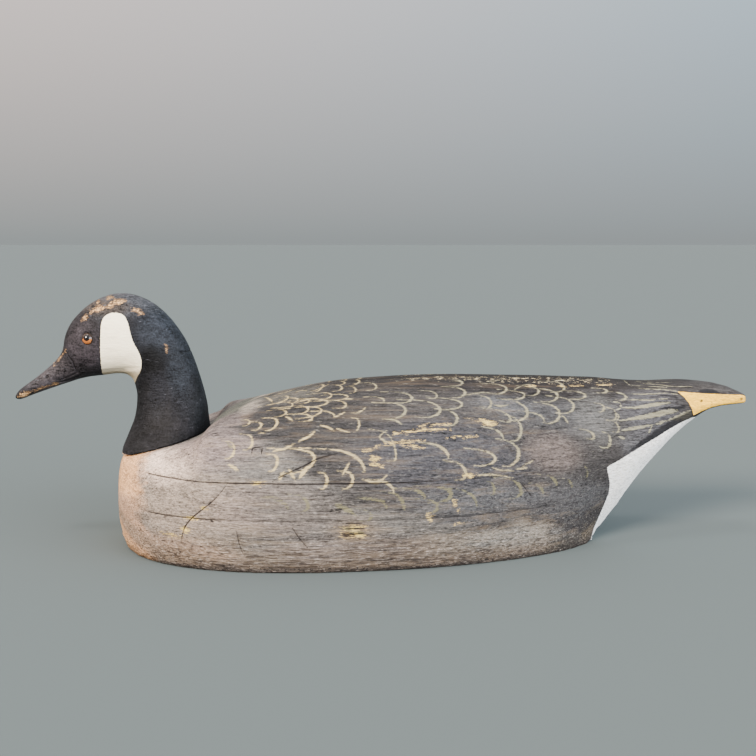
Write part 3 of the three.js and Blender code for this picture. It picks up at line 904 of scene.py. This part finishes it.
@dataclass(frozen=True)
class BlackHeadPaint:
    """Flat black oil paint with a little more body than the rest, rubbed to a dull sheen by hands.

    The cheek is a thick coat of off-white over it with painted shade at its foot, and bare pine shows at
    the crown and the bill.
    """

    scuff: str = "#606167"
    breast: str = "#988372"
    cheek: str = "#fff3d4"
    cheek_painted_shade: str = "#867b64"
    bruise: str = "#443529"
    stained_pine: str = "#775e44"
    pine: str = "#b49063"
    # Painted shade in the scribed creases
    crease: str = "#121011"
    # Painted shade round the eye
    socket: str = "#1b130c"
    roughness: float = 0.6
    specular: float = 0.12

    def material(self) -> bpy.types.Material:
        """Lay up the paint of the head and neck.

        Returns:
            The material.
        """
        surface = Surface("flat_black_oil_paint")
        coat, toned = surface.coat, surface.toned
        # Brush marks run round the neck and along the head, about a millimetre apart
        brush = surface.pattern((9, 9, 1.6), 3)
        cloud = surface.pattern((20, 16, 17), 5, 0.62)
        flakes = surface.pattern((4.5, 3, 2.2), 4, 0.65)
        speckle = surface.pattern((1.6, 1.6, 1.6), 3)
        scratches = surface.pattern((8, 5, 1.1), 3, 0.65, 0.9)
        ground = add(surface.tree, "Attribute", attribute_name="ground").outputs["Color"]
        surface.colour = toned(ground, ((brush, 0.8), (cloud, 1.2), (speckle, 1.5), (flakes, 1.0)))
        coat("scuff", self.scuff, scratches, 2.4, 0.3, 0.5)
        coat("foot", self.breast, speckle, 0.5, 0.35)
        # The cheek's white is darkened towards its lower edge and the throat as painted shade
        white = toned(surface.between("low", self.cheek, self.cheek_painted_shade), ((brush, 0.16), (cloud, 0.1)))
        cheek = coat("cheek", white, speckle, 0.5, 0.3)
        # A chip goes from bruised paint at its rim over stained wood to fresh pine in its middle
        coat("bare", self.bruise, flakes, 4.0, 0.5, 0.8, -0.5)
        chips = coat("bare", self.stained_pine, flakes, 6.0, 0.8, 0.85, 0.2)
        pine = toned(self.pine, ((brush, 0.5), (flakes, 1.2), (speckle, 1.0)))
        coat("bare", pine, speckle, 5.0, 0.9, 0.9, 1.2)
        # Painted shade: the scribed creases are painted near black
        creases = coat("crease", self.crease, speckle, 0.6, 0.4, 0.85)
        # Painted shade round the eye, in its socket
        coat("socket", self.socket, speckle, 0.8, 0.4, 0.9)
        surface.relief((
            (brush, 0.16), (cloud, 0.35), (flakes, 0.14), (speckle, 0.12), (cheek, 0.14), (chips, -0.22),
            (creases, -0.6),
        ))
        return surface.finish(self.roughness, self.specular)


@dataclass(frozen=True)
class PaintedGlass:
    """A glass eye painted from behind: an amber iris round a black pupil under a clear, wet gloss."""

    iris: str = "#a8622a"
    iris_edge_and_brow_shade: str = "#2a1d10"
    pupil: str = "#060505"
    gloss: float = 0.6
    gloss_roughness: float = 0.03
    roughness: float = 0.15
    specular: float = 0.2

    def material(self) -> bpy.types.Material:
        """Lay up the eye.

        Returns:
            The material.
        """
        surface = Surface("painted_glass_eye")
        threads = surface.pattern((0.6, 0.6, 0.6), 3)
        # The eye's ground is the dark edge of the iris, and over the upper half of the iris it is painted
        # shade from the brow
        surface.colour = self.iris_edge_and_brow_shade
        surface.coat("iris", self.iris, threads, 1.6, 0.7)
        surface.coat("pupil", self.pupil, threads, 0.2, 0.25)
        surface.shader.inputs["Coat Weight"].default_value = self.gloss
        surface.shader.inputs["Coat Roughness"].default_value = self.gloss_roughness
        return surface.finish(self.roughness, self.specular)


@dataclass
class CarvedBody:
    """The body: three boards carved as one form, worn, and parted again along their seams."""

    frame: dict
    nodes: tuple[str, ...] = ("body_bottom_board", "body_middle_board", "body_top_block")
    slots: tuple[str, ...] = ("side_paint", "side_paint", "back_paint")
    voxel: float = 1.75
    overlap: float = 0.5
    joint_gap: float = 0.1
    carving_passes: int = 60
    sharp_deg: float = 42.0
    girth_centre: float = 55.0
    girth_radius: float = 110.0
    hand_patch: float = 70.0
    hand_drift: Pair = (26.0, 14.0)
    hand_shift: Pair = (-9.0, 3.0)
    shoulder_rise: float = 5.5
    facet_size: Triple = (38.0, 24.0, 17.0)
    facet_depth: float = 0.55
    grain_size: Triple = (30.0, 5.5, 4.2)
    nick_size: Triple = (7.0, 4.0, 3.0)
    crack_depth: float = 0.75
    hole_depth: float = 0.8
    chip_depth: float = 0.22
    nick_depth: float = 0.9
    stroke_rim: float = 0.9
    flank: str = "#5e5b57"
    back: str = "#3c3a39"
    breast: str = "#c49970"
    underside: str = "#5d5245"

    def seams(self) -> list[float]:
        """Heights of the glued joints, midway between one board's top and the next one's foot."""
        boxes = [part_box(node) for node in self.nodes]
        return [(low[1].z + high[0].z) / 2 / MM for low, high in zip(boxes[:-1], boxes[1:])]

    def build(self) -> None:
        """Carve the form, wear it, and part it into its boards."""
        form = merged_copy(self.frame, self.nodes, "carved_form", self.overlap)
        apply_modifier(form, "REMESH", mode="VOXEL", voxel_size=self.voxel * MM)
        self.soften(form)
        self.wear(form)
        paint = WeatheredOilPaint().material()
        for board, node, slot in zip(self.part(form), self.nodes, self.slots):
            self.open_joints(board)
            self.refine(board)
            self.mark(board)
            put_in_place(board, node, slot, paint, self.sharp_deg)

    def soften(self, form: Piece) -> None:
        """Take the facets off the form, and leave the edge of the base and the sawn tail alone.

        Args:
            form: the body in one piece.
        """
        skin = Skin(form)
        free = ease(skin.points[:, 2], 0.5, 6) * ease(skin.points[:, 0], 300, 260)
        group = form.vertex_groups.new(name="free")
        for level in range(1, 11):
            chosen = np.flatnonzero(np.ceil(free * 10) == level)
            group.add(chosen.tolist(), level / 10, "REPLACE")
        apply_modifier(form, "SMOOTH", factor=0.5, iterations=self.carving_passes, vertex_group="free")

    def sheet(self, points: Array) -> tuple[Array, Array]:
        """Unroll the skin, along the body and round its girth from the crest.

        The right side is drawn like the left one, as a second hand would: each place there looks a
        little way off on the left side's drawing, more so further from the crest.

        Args:
            points: the points of a piece.

        Returns:
            The place of each point on the sheet, and whether it lies on the right side.
        """
        x, y, z = points.T
        girth = self.girth_radius * np.arctan2(np.abs(y), z - self.girth_centre)
        places = np.column_stack([x, girth])
        right = y > 0
        away = ease(girth, 6, 40) * right
        cells = np.column_stack([places / self.hand_patch, np.zeros(len(points))])
        wander = np.column_stack([lattice_noise(cells, seed) for seed in (5, 6)]) - 0.5
        places += away[:, None] * (wander * self.hand_drift + self.hand_shift)
        return places, right

    def drawn(self, marks: Sequence, places: Array, right: Array, spare: int) -> Array:
        """Lay marks on both sides, with fewer of them on the right one.

        Args:
            marks: the marks, as they lie on the left side.
            places: the points on the sheet.
            right: whether each of them lies on the right side.
            spare: each mark of this number is left off the right side, and none of them at 0.

        Returns:
            How deep each point lies in any of the marks.
        """
        depth = deepest(marks, places)
        if spare:
            few = [mark for i, mark in enumerate(marks) if i % spare]
            depth[right] = deepest(few, places[right])
        return depth

    def wear(self, form: Piece) -> None:
        """Work the hand of the carver and the weather into the wood, before the boards are parted.

        Args:
            form: the body in one piece.
        """
        skin = Skin(form)
        x, y, z = skin.points.T
        # The far shoulder is carved a little fuller than the near one
        fuller = np.exp(-(((x + 172) / 30) ** 2) - ((y - 74) / 21) ** 2) * (z > 70)
        skin.points[:, 2] += self.shoulder_rise * fuller
        skin.write()
        places, right = self.sheet(skin.points)
        level = ease(z, 0.4, 3)
        # Knife facets, raised grain, and the ripple of hard rings on the lower flank
        low = ease(places[:, 1], 140, 190)
        grain_depth = 0.28 + 0.3 * low + 0.5 * ease(z, 30, 8)
        facets, grain = skin.noise(self.facet_size, 1) - 0.5, skin.noise(self.grain_size, 2) - 0.5
        skin.sink(level * (self.facet_depth * facets + grain_depth * grain))
        skin.write()
        crack = ease(self.drawn(CRACKS, places, right, 2), -0.9, 0.3)
        hole = ease(self.drawn(PIN_HOLES, places, right, 2), -0.5, 0.6)
        chip = ease(self.drawn(BARE_WOOD, places, right, 3), -0.4, 0.8)
        nick = ease(z, 13, 3) * ease(skin.noise(self.nick_size, 3), 0.62, 0.85)
        cuts = self.crack_depth * crack + self.hole_depth * hole + self.chip_depth * chip
        skin.sink(level * (cuts + self.nick_depth * nick))
        skin.write()

    def part(self, form: Piece) -> list[Piece]:
        """Cut the form along its seams.

        Args:
            form: the body in one piece, which is used up.

        Returns:
            The closed boards, from the ground up.
        """
        levels = [None, *self.seams(), None]
        boards = []
        for node, low, high in zip(self.nodes, levels[:-1], levels[1:]):
            board = bpy.data.objects.new(node + "_carved", form.data.copy())
            bpy.context.scene.collection.objects.link(board)
            only(board)
            bpy.ops.object.mode_set(mode="EDIT")
            for level, above in ((low, True), (high, False)):
                if level is None:
                    continue
                height = (level + (1 if above else -1) * self.joint_gap / 2) * MM
                plane = {"plane_co": (0, 0, height), "plane_no": (0, 0, 1)}
                bpy.ops.mesh.select_all(action="SELECT")
                bpy.ops.mesh.bisect(**plane, use_fill=True, clear_inner=above, clear_outer=not above)
            bpy.ops.object.mode_set(mode="OBJECT")
            boards.append(board)
        bpy.data.objects.remove(form)
        return boards

    def open_joints(self, board: Piece) -> None:
        """Wear the outer edges of the joints, more towards the breast, where they have opened.

        Args:
            board: one board of the body.
        """
        skin = Skin(board)
        x, _, z = skin.points.T
        out = skin.normals * [1, 1, 0]
        out /= np.maximum(np.linalg.norm(out, axis=1), 1e-6)[:, None]
        shown = ease(x, -226, -210) * ease(x, 190, 120)
        worn = 0.04 + shown * (0.3 + 0.5 * skin.noise((16, 60, 60), 4))
        near = np.min([np.abs(z - seam) for seam in self.seams()], axis=0)
        skin.points -= out * (worn * ease(near, 1.3, 0.15))[:, None]
        skin.write()

    def refine(self, board: Piece) -> None:
        """Split the faces under the strokes and cracks of the left side, which is seen close.

        Args:
            board: one board of the body.
        """
        places, right = self.sheet(Skin(board).points)
        close = (deepest(BACK_FEATHERS + WING_STRIPES + CRACKS, places) > -self.stroke_rim) & ~right
        only(board)
        bpy.ops.object.mode_set(mode="EDIT")
        bpy.ops.mesh.select_all(action="DESELECT")
        bpy.ops.object.mode_set(mode="OBJECT")
        mesh = board.data
        corners = np.zeros(len(mesh.loops), int)
        mesh.loops.foreach_get("vertex_index", corners)
        starts, counts = np.zeros((2, len(mesh.polygons)), int)
        mesh.polygons.foreach_get("loop_start", starts)
        mesh.polygons.foreach_get("loop_total", counts)
        chosen = np.maximum.reduceat(close[corners], starts) & (counts <= 4)
        mesh.polygons.foreach_set("select", chosen)
        bpy.ops.object.mode_set(mode="EDIT")
        bpy.ops.mesh.select_mode(type="FACE")
        bpy.ops.mesh.subdivide(number_cuts=1)
        bpy.ops.object.mode_set(mode="OBJECT")

    def mark(self, piece: Piece) -> None:
        """Mark how deep each point lies in every painted or worn place, for the paint to read.

        Args:
            piece: the carved piece.
        """
        skin = Skin(piece)
        places, right = self.sheet(skin.points)
        x, y, z = skin.points.T
        back = depth_inside(places, BACK_PAINT)
        skin.tint("ground", self.ground(skin, places, back))
        for name, marks, spare in (
            ("feather", BACK_FEATHERS, 7), ("olive", FLANK_FEATHERS, 3), ("wing", WING_STRIPES, 0),
            ("dark", DARK_STRIPES, 0), ("bare", BARE_WOOD, 3), ("crack", CRACKS, 2),
        ):
            skin.mark(name, self.drawn(marks, places, right, spare))
        rump = depth_inside(skin.profile, WHITE_RUMP)
        skin.mark("rump", np.where((x > 292) & (skin.normals[:, 2] > -0.3), -5, rump))
        skin.mark("band", 4.6 * ease(x, 222, 262) - np.abs(rump + 2.5) - 20 * ease(x, 232, 216))
        skin.mark("nail", deepest(NAILS, skin.profile))
        facing = 9 * (np.abs(skin.normals[:, 1]) - 0.55)
        sawn = np.minimum(depth_inside(skin.profile, SAWN_FLAT), facing)
        skin.mark("sawn", np.where(np.abs(y) > 12, sawn, -4))
        lower, upper = self.seams()
        inside = ease(x, -211, -201) * ease(x, 205, 180)
        lower_line = inside * (0.25 + 0.75 * ease(x, -118, -150) + 0.3 * ease(x, 60, 90)) - 0.45
        upper_line = inside * (0.55 + 0.45 * ease(x, 70, 10)) - 0.4
        near = np.maximum(lower_line - np.abs(z - lower), upper_line - np.abs(z - upper))
        # Painted contact shadow: a dark line along the foot of the base, where it stands on the ground
        contact_shadow = np.where(skin.normals[:, 2] > -0.6, 1.5 - z, -4)
        skin.mark("seam", np.maximum(near, contact_shadow))
        self.mark_films(skin, places[:, 1], back)

    def mark_films(self, skin: Skin, girth: Array, back: Array) -> None:
        """Mark where thin films lie, and where the wood is rubbed, pitted or split.

        Each mark is a level that the pattern of its coat has to make up to 0, so a higher level
        gives a denser film.

        Args:
            skin: the board's skin.
            girth: how far round from the crest each point lies.
            back: how deep each lies in the dark paint of the back.
        """
        x, _, z = skin.points.T
        crest = ease(x, -20, 40) * ease(x, 245, 215) * ease(girth, 42, 18)
        crest *= 0.7 + 0.3 * ease(girth, 4, 12)
        front_crest = ease(x, -110, -60) * ease(girth, 45, 10) * ease(x, 0, -30)
        films = {
            "fresh": 0.9 * ease(x, 30, -60) + 0.35 * ease(girth, 100, 130) * ease(x, -60, 30),
            "ridge": 2.0 * crest + 0.5 * front_crest - 2.85,
            "thin": 0.5 * ease(back, -4, 10) * ease(x, 260, 200) - 1.06,
            "warm": 0.5 * ease(girth, 176, 214) * ease(z, 1, 6)
            - 0.5 * ease(np.abs(x + 10), 150, 200) - 0.3,
            "soot": 0.6 * ease(z, 11, 2) + 0.4 * ease(girth, 60, 14) * ease(x, -60, 60)
            + 0.5 * ease(girth, 150, 195) - 0.85,
            "chalk": 0.35 * ease(girth, 60, 170) + 0.15 * ease(back, 4, -10)
            + 0.14 * ease(z, 42, 22) - 1.0,
            "pits": 0.35 * ease(z, 4.5, 1.5) + 0.75 * ease(z, 12, 3)
            + 0.25 * ease(girth, 150, 200) * ease(x, 220, 0) - 1.4,
            "splits": 0.24 * ease(z, 50, 25) + 0.12 * ease(z, 22, 8) + 0.1 * ease(x, 120, 180)
            + 0.1 * ease(girth, 90, 30) * ease(x, -40, 40) - 0.42,
        }
        for name, level in films.items():
            skin.mark(name, level)

    def ground(self, skin: Skin, places: Array, back: Array) -> Array:
        """Blend the ground colours of the breast, the flanks and the back.

        Args:
            skin: the board's skin.
            places: the points on the sheet.
            back: how deep each lies in the dark paint of the back.

        Returns:
            One linear colour for each point.
        """
        x, _, z = skin.points.T
        girth = places[:, 1]
        drift = 0.5 * skin.noise((40, 26, 12), 7) + 0.6 * skin.noise((30, 5, 4), 8) - 0.55
        front = -213 + 9 * ease(girth, 105, 60) + 16 * ease(girth, 188, 214) + 22 * drift
        # The flank tints carry a painted highlight and painted shade near the neck, and the back tints
        # painted shade along the crest
        ground = tinted(skin.profile, tinted(places, self.flank, FLANK_TINTS_HIGHLIGHT_AND_SHADE), LOW_TINTS)
        for colour, share in (
            (tinted(places, self.back, BACK_TINTS_AND_CREST_SHADE), ease(back + 26 * drift, -7, 8)),
            (tinted(places, self.breast, BREAST_TINTS), ease(x - front, 9, -9)),
            (np.array(linear(self.underside)), ease(z, 0.8, 0.2)),
        ):
            ground = ground * (1 - share[:, None]) + colour * share[:, None]
        return ground


@dataclass
class HeadAndNeck:
    """The head and neck, carved from one block."""

    frame: dict
    node: str = "head_and_neck"
    voxel: float = 1.0
    carving_passes: int = 14
    sharp_deg: float = 50.0
    eye_at: Pair = (-267.7, 195.3)
    socket_pull: float = 2.1
    lid_reach: Pair = (9.5, 6.0)
    facet_size: Triple = (16.0, 14.0, 13.0)
    facet_depth: float = 0.35
    crease_depth: float = 0.75
    fold_depth: float = 0.5
    chip_depth: float = 0.45
    right_chips: Pair = (4.0, 0.6)
    socket_radius: float = 5.5
    neck_foot: tuple[Pair, ...] = (
        (-260, 88.4), (-245, 89), (-237, 89.6), (-225, 90.8), (-212, 92.4), (-204, 80),
    )
    black: str = "#161619"

    def build(self) -> None:
        """Carve the head's fine skin, cut its creases and paint it."""
        head = merged_copy(self.frame, [self.node], "head_and_neck_carved")
        apply_modifier(head, "REMESH", mode="VOXEL", voxel_size=self.voxel * MM)
        apply_modifier(head, "SMOOTH", factor=0.5, iterations=self.carving_passes)
        self.cut(head)
        self.mark(head)
        put_in_place(head, self.node, "head_paint", BlackHeadPaint().material(), self.sharp_deg)

    def chips(self, skin: Skin) -> Array:
        """Measure how deep each point lies in a chip, with fewer of them on the right side.

        Args:
            skin: the head's skin.

        Returns:
            One depth for each point, above zero in a chip.
        """
        depth = deepest(HEAD_CHIPS, skin.profile)
        right = skin.points[:, 1] > 3
        depth[right] = deepest(HEAD_CHIPS[1:10:2], skin.profile[right] + self.right_chips)
        return depth

    def cut(self, head: Piece) -> None:
        """Cut the line of the bill, the mouth and the jaw, and chip the crown and the bill's tip.

        Args:
            head: the carved head and neck.
        """
        skin = Skin(head)
        profile = skin.profile
        facets = skin.noise(self.facet_size, 11) - 0.5
        from_eye = profile - self.eye_at
        off = np.linalg.norm(from_eye, axis=1)
        # The wood is drawn in round the socket, so that the lid hugs the glass
        pull = self.socket_pull * ease(off, *self.lid_reach) / np.maximum(off, 0.1)
        skin.points[:, [0, 2]] -= from_eye * pull[:, None]
        crease = self.crease_depth * ease(deepest(HEAD_CREASES, profile), -0.7, 0.5)
        fold = self.fold_depth * ease(JAW_FOLD.cover(profile), -2.2, 1.0)
        chips = self.chip_depth * ease(self.chips(skin), -0.3, 0.8)
        skin.sink(self.facet_depth * facets + crease + fold + chips)
        skin.write()

    def mark(self, piece: Piece) -> None:
        """Mark how deep each point lies in every painted or worn place, for the paint to read.

        Args:
            piece: the carved piece.
        """
        skin = Skin(piece)
        x, _, z = skin.points.T
        # The ground carries the tones of the paint, a painted sheen on the back of the head and the nape,
        # and painted shade down the back edge of the neck
        skin.tint("ground", tinted(skin.profile, self.black, HEAD_TINTS_SHEEN_AND_SHADE))
        skin.mark("cheek", depth_inside(skin.profile, CHEEK_PATCH))
        # Painted shade: how far the cheek's white is darkened towards its lower edge and the throat
        skin.mark("low", 0.25 * ease(z, 190, 168) + 0.7 * ease(z, 171, 160))
        skin.mark("bare", self.chips(skin))
        # Painted shade: how deep each point lies in a scribed crease
        skin.mark("crease", deepest(HEAD_CREASES, skin.profile))
        worn = 0.15 * ease(z, 95, 130) + 0.45 * ease(z, 200, 230) + 0.4 * ease(x, -285, -320)
        skin.mark("scuff", worn - 1.2)
        # The black of the neck ends a little above the breast, at heights along the body
        border = np.interp(x, *zip(*self.neck_foot))
        skin.mark("foot", border - z - 1.9)
        # Painted shade in the socket: how near each point lies to the eye, within the socket's reach
        skin.mark("socket", self.socket_radius - np.linalg.norm(skin.profile - self.eye_at, axis=1))


@dataclass
class GlassEye:
    """A round glass eye set in its socket, looking outwards and a little ahead."""

    node: str
    side: Side
    radius: float = 6.0
    look: Triple = (-0.05, 1.0, 0.22)
    pupil_radius: float = 2.9
    iris_radius: float = 4.9
    brow_shade: float = 4.2
    brow_edge: Pair = (-1.8, 1.4)

    def build(self, glass: bpy.types.Material) -> None:
        """Blow the eye and paint its iris and pupil.

        Args:
            glass: the eye's material.
        """
        low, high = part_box(self.node)
        middle = (low + high) / 2
        bpy.ops.object.select_all(action="DESELECT")
        bpy.ops.mesh.primitive_ico_sphere_add(subdivisions=6, radius=(high.x - low.x) / 2, location=middle)
        eye = bpy.context.object
        eye.name = self.node + "_glass"
        bpy.ops.object.transform_apply(location=True, rotation=True, scale=True)
        skin = Skin(eye)
        axis = np.array(self.look) * [1, self.side.value, 1]
        axis /= np.linalg.norm(axis)
        spokes = skin.points - np.array(middle) / MM
        along = spokes @ axis
        across = spokes - along[:, None] * axis
        off = np.where(along > 0, np.linalg.norm(across, axis=1), 2 * self.radius)
        skin.mark("pupil", self.pupil_radius - off)
        # Painted shade: the upper half of the iris is painted dark, as if shaded by the brow
        skin.mark("iris", self.iris_radius - off - self.brow_shade * ease(across[:, 2], *self.brow_edge))
        put_in_place(eye, self.node, "eye_glass", glass)


@dataclass
class Studio:
    """The pale floor, the soft lights and the camera at the photo's angle."""

    camera_at: Triple = (0.5, -980.0, 286.1)
    pitch_deg: float = 7.6
    lens: float = 49.28
    floor_reach: float = 60000.0
    paper: str = "#535b5b"
    # The room's colours on the left and the right, its strength overhead, and how far sideways, from
    # the ground and upwards these change, in parts of a step in that direction
    horizon: tuple[str, str] = ("#9ea4a4", "#9ba2a4")
    wall: tuple[str, str] = ("#fff0ea", "#cbe0ee")
    overhead: float = 2.1
    side_reach: float = 0.36
    horizon_reach: float = 0.22
    overhead_reach: Pair = (0.24, 0.6)
    # Each lamp's name, the way to it, its strength, how many degrees wide it looks, and its colour
    lamps: tuple[tuple[str, Triple, float, float, str], ...] = (
        ("window", (-0.6, -0.85, 0.62), 8.4, 20, "#fff1e3"),
        ("sky_right", (1.0, -0.8, 0.1), 9.4, 60, "#f4f6ff"),
        ("wall_right", (1.0, -0.15, 0.03), 3.0, 50, "#f4f8ff"),
        ("ceiling", (-0.25, -0.25, 1.0), 0.9, 10, "#ffffff"),
    )

    def build(self) -> None:
        """Set up the floor, the light and the camera."""
        self.floor()
        for lamp in self.lamps:
            self.lamp(*lamp)
        self.room()
        self.camera()

    def floor(self) -> None:
        """Lay the pale floor that the decoy stands on."""
        bpy.ops.object.select_all(action="DESELECT")
        bpy.ops.mesh.primitive_plane_add(size=2 * self.floor_reach * MM)
        floor = bpy.context.object
        floor.name = "floor"
        paper = bpy.data.materials.new("matt_paper")
        paper.use_nodes = True
        shader = paper.node_tree.nodes["Principled BSDF"]
        shader.inputs["Base Color"].default_value = linear(self.paper)
        shader.inputs["Roughness"].default_value = 0.95
        shader.inputs["Specular IOR Level"].default_value = 0.1
        floor.data.materials.append(paper)

    def lamp(self, name: str, toward: Triple, strength: float, spread_deg: float, colour: str) -> None:
        """Let soft light come in from one direction.

        Args:
            name: the lamp's name.
            toward: the way to it.
            strength: how bright it is.
            spread_deg: how many degrees wide it looks.
            colour: its colour.
        """
        data = bpy.data.lights.new(name, "SUN")
        data.energy = strength
        data.angle = math.radians(spread_deg)
        data.color = linear(colour)[:3]
        lamp = bpy.data.objects.new(name, data)
        lamp.rotation_euler = Vector(toward).to_track_quat("Z", "Y").to_euler()
        bpy.context.scene.collection.objects.link(lamp)

    def room(self) -> None:
        """Surround the floor with a pale room, warmer on the left, that is brightest overhead."""
        world = bpy.data.worlds.new("studio")
        world.use_nodes = True
        tree = world.node_tree
        toward = add(tree, "TexCoord").outputs["Generated"]
        parts = add(tree, "SeparateXYZ", {0: toward}).outputs
        sideways = {"Value": parts["X"], "From Min": -self.side_reach, "From Max": self.side_reach}
        across = add(tree, "MapRange", sideways)
        height = add(tree, "MapRange", {"Value": parts["Z"], "From Max": self.horizon_reach})
        levels = {0: height.outputs[0]}
        for socket, (left, right) in ((6, self.horizon), (7, self.wall)):
            sides = {0: across.outputs[0], 6: left, 7: right}
            levels[socket] = add(tree, "Mix", sides, data_type="RGBA").outputs[2]
        colour = add(tree, "Mix", levels, data_type="RGBA").outputs[2]
        low, high = self.overhead_reach
        rise = {"Value": parts["Z"], "From Min": low, "From Max": high, "To Min": 1.0}
        rise["To Max"] = self.overhead
        strength = add(tree, "MapRange", rise, interpolation_type="SMOOTHSTEP").outputs[0]
        background = tree.nodes["Background"]
        tree.links.new(colour, background.inputs["Color"])
        tree.links.new(strength, background.inputs["Strength"])
        bpy.context.scene.world = world

    def camera(self) -> None:
        """Put the camera where the photo was taken from."""
        data = bpy.data.cameras.new("camera")
        data.lens = self.lens
        data.sensor_width = 36
        data.clip_end = 100
        camera = bpy.data.objects.new("camera", data)
        camera.location = [value * MM for value in self.camera_at]
        camera.rotation_euler = (math.radians(90 - self.pitch_deg), 0, 0)
        bpy.context.scene.collection.objects.link(camera)
        bpy.context.scene.camera = camera


def main() -> None:
    """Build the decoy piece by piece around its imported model."""
    logging.basicConfig(level=logging.INFO, format="%(message)s")
    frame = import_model()
    CarvedBody(frame).build()
    HeadAndNeck(frame).build()
    glass = PaintedGlass().material()
    GlassEye("eye_left", Side.LEFT).build(glass)
    GlassEye("eye_right", Side.RIGHT).build(glass)
    Studio().build()


if __name__ == "__main__":
    main()
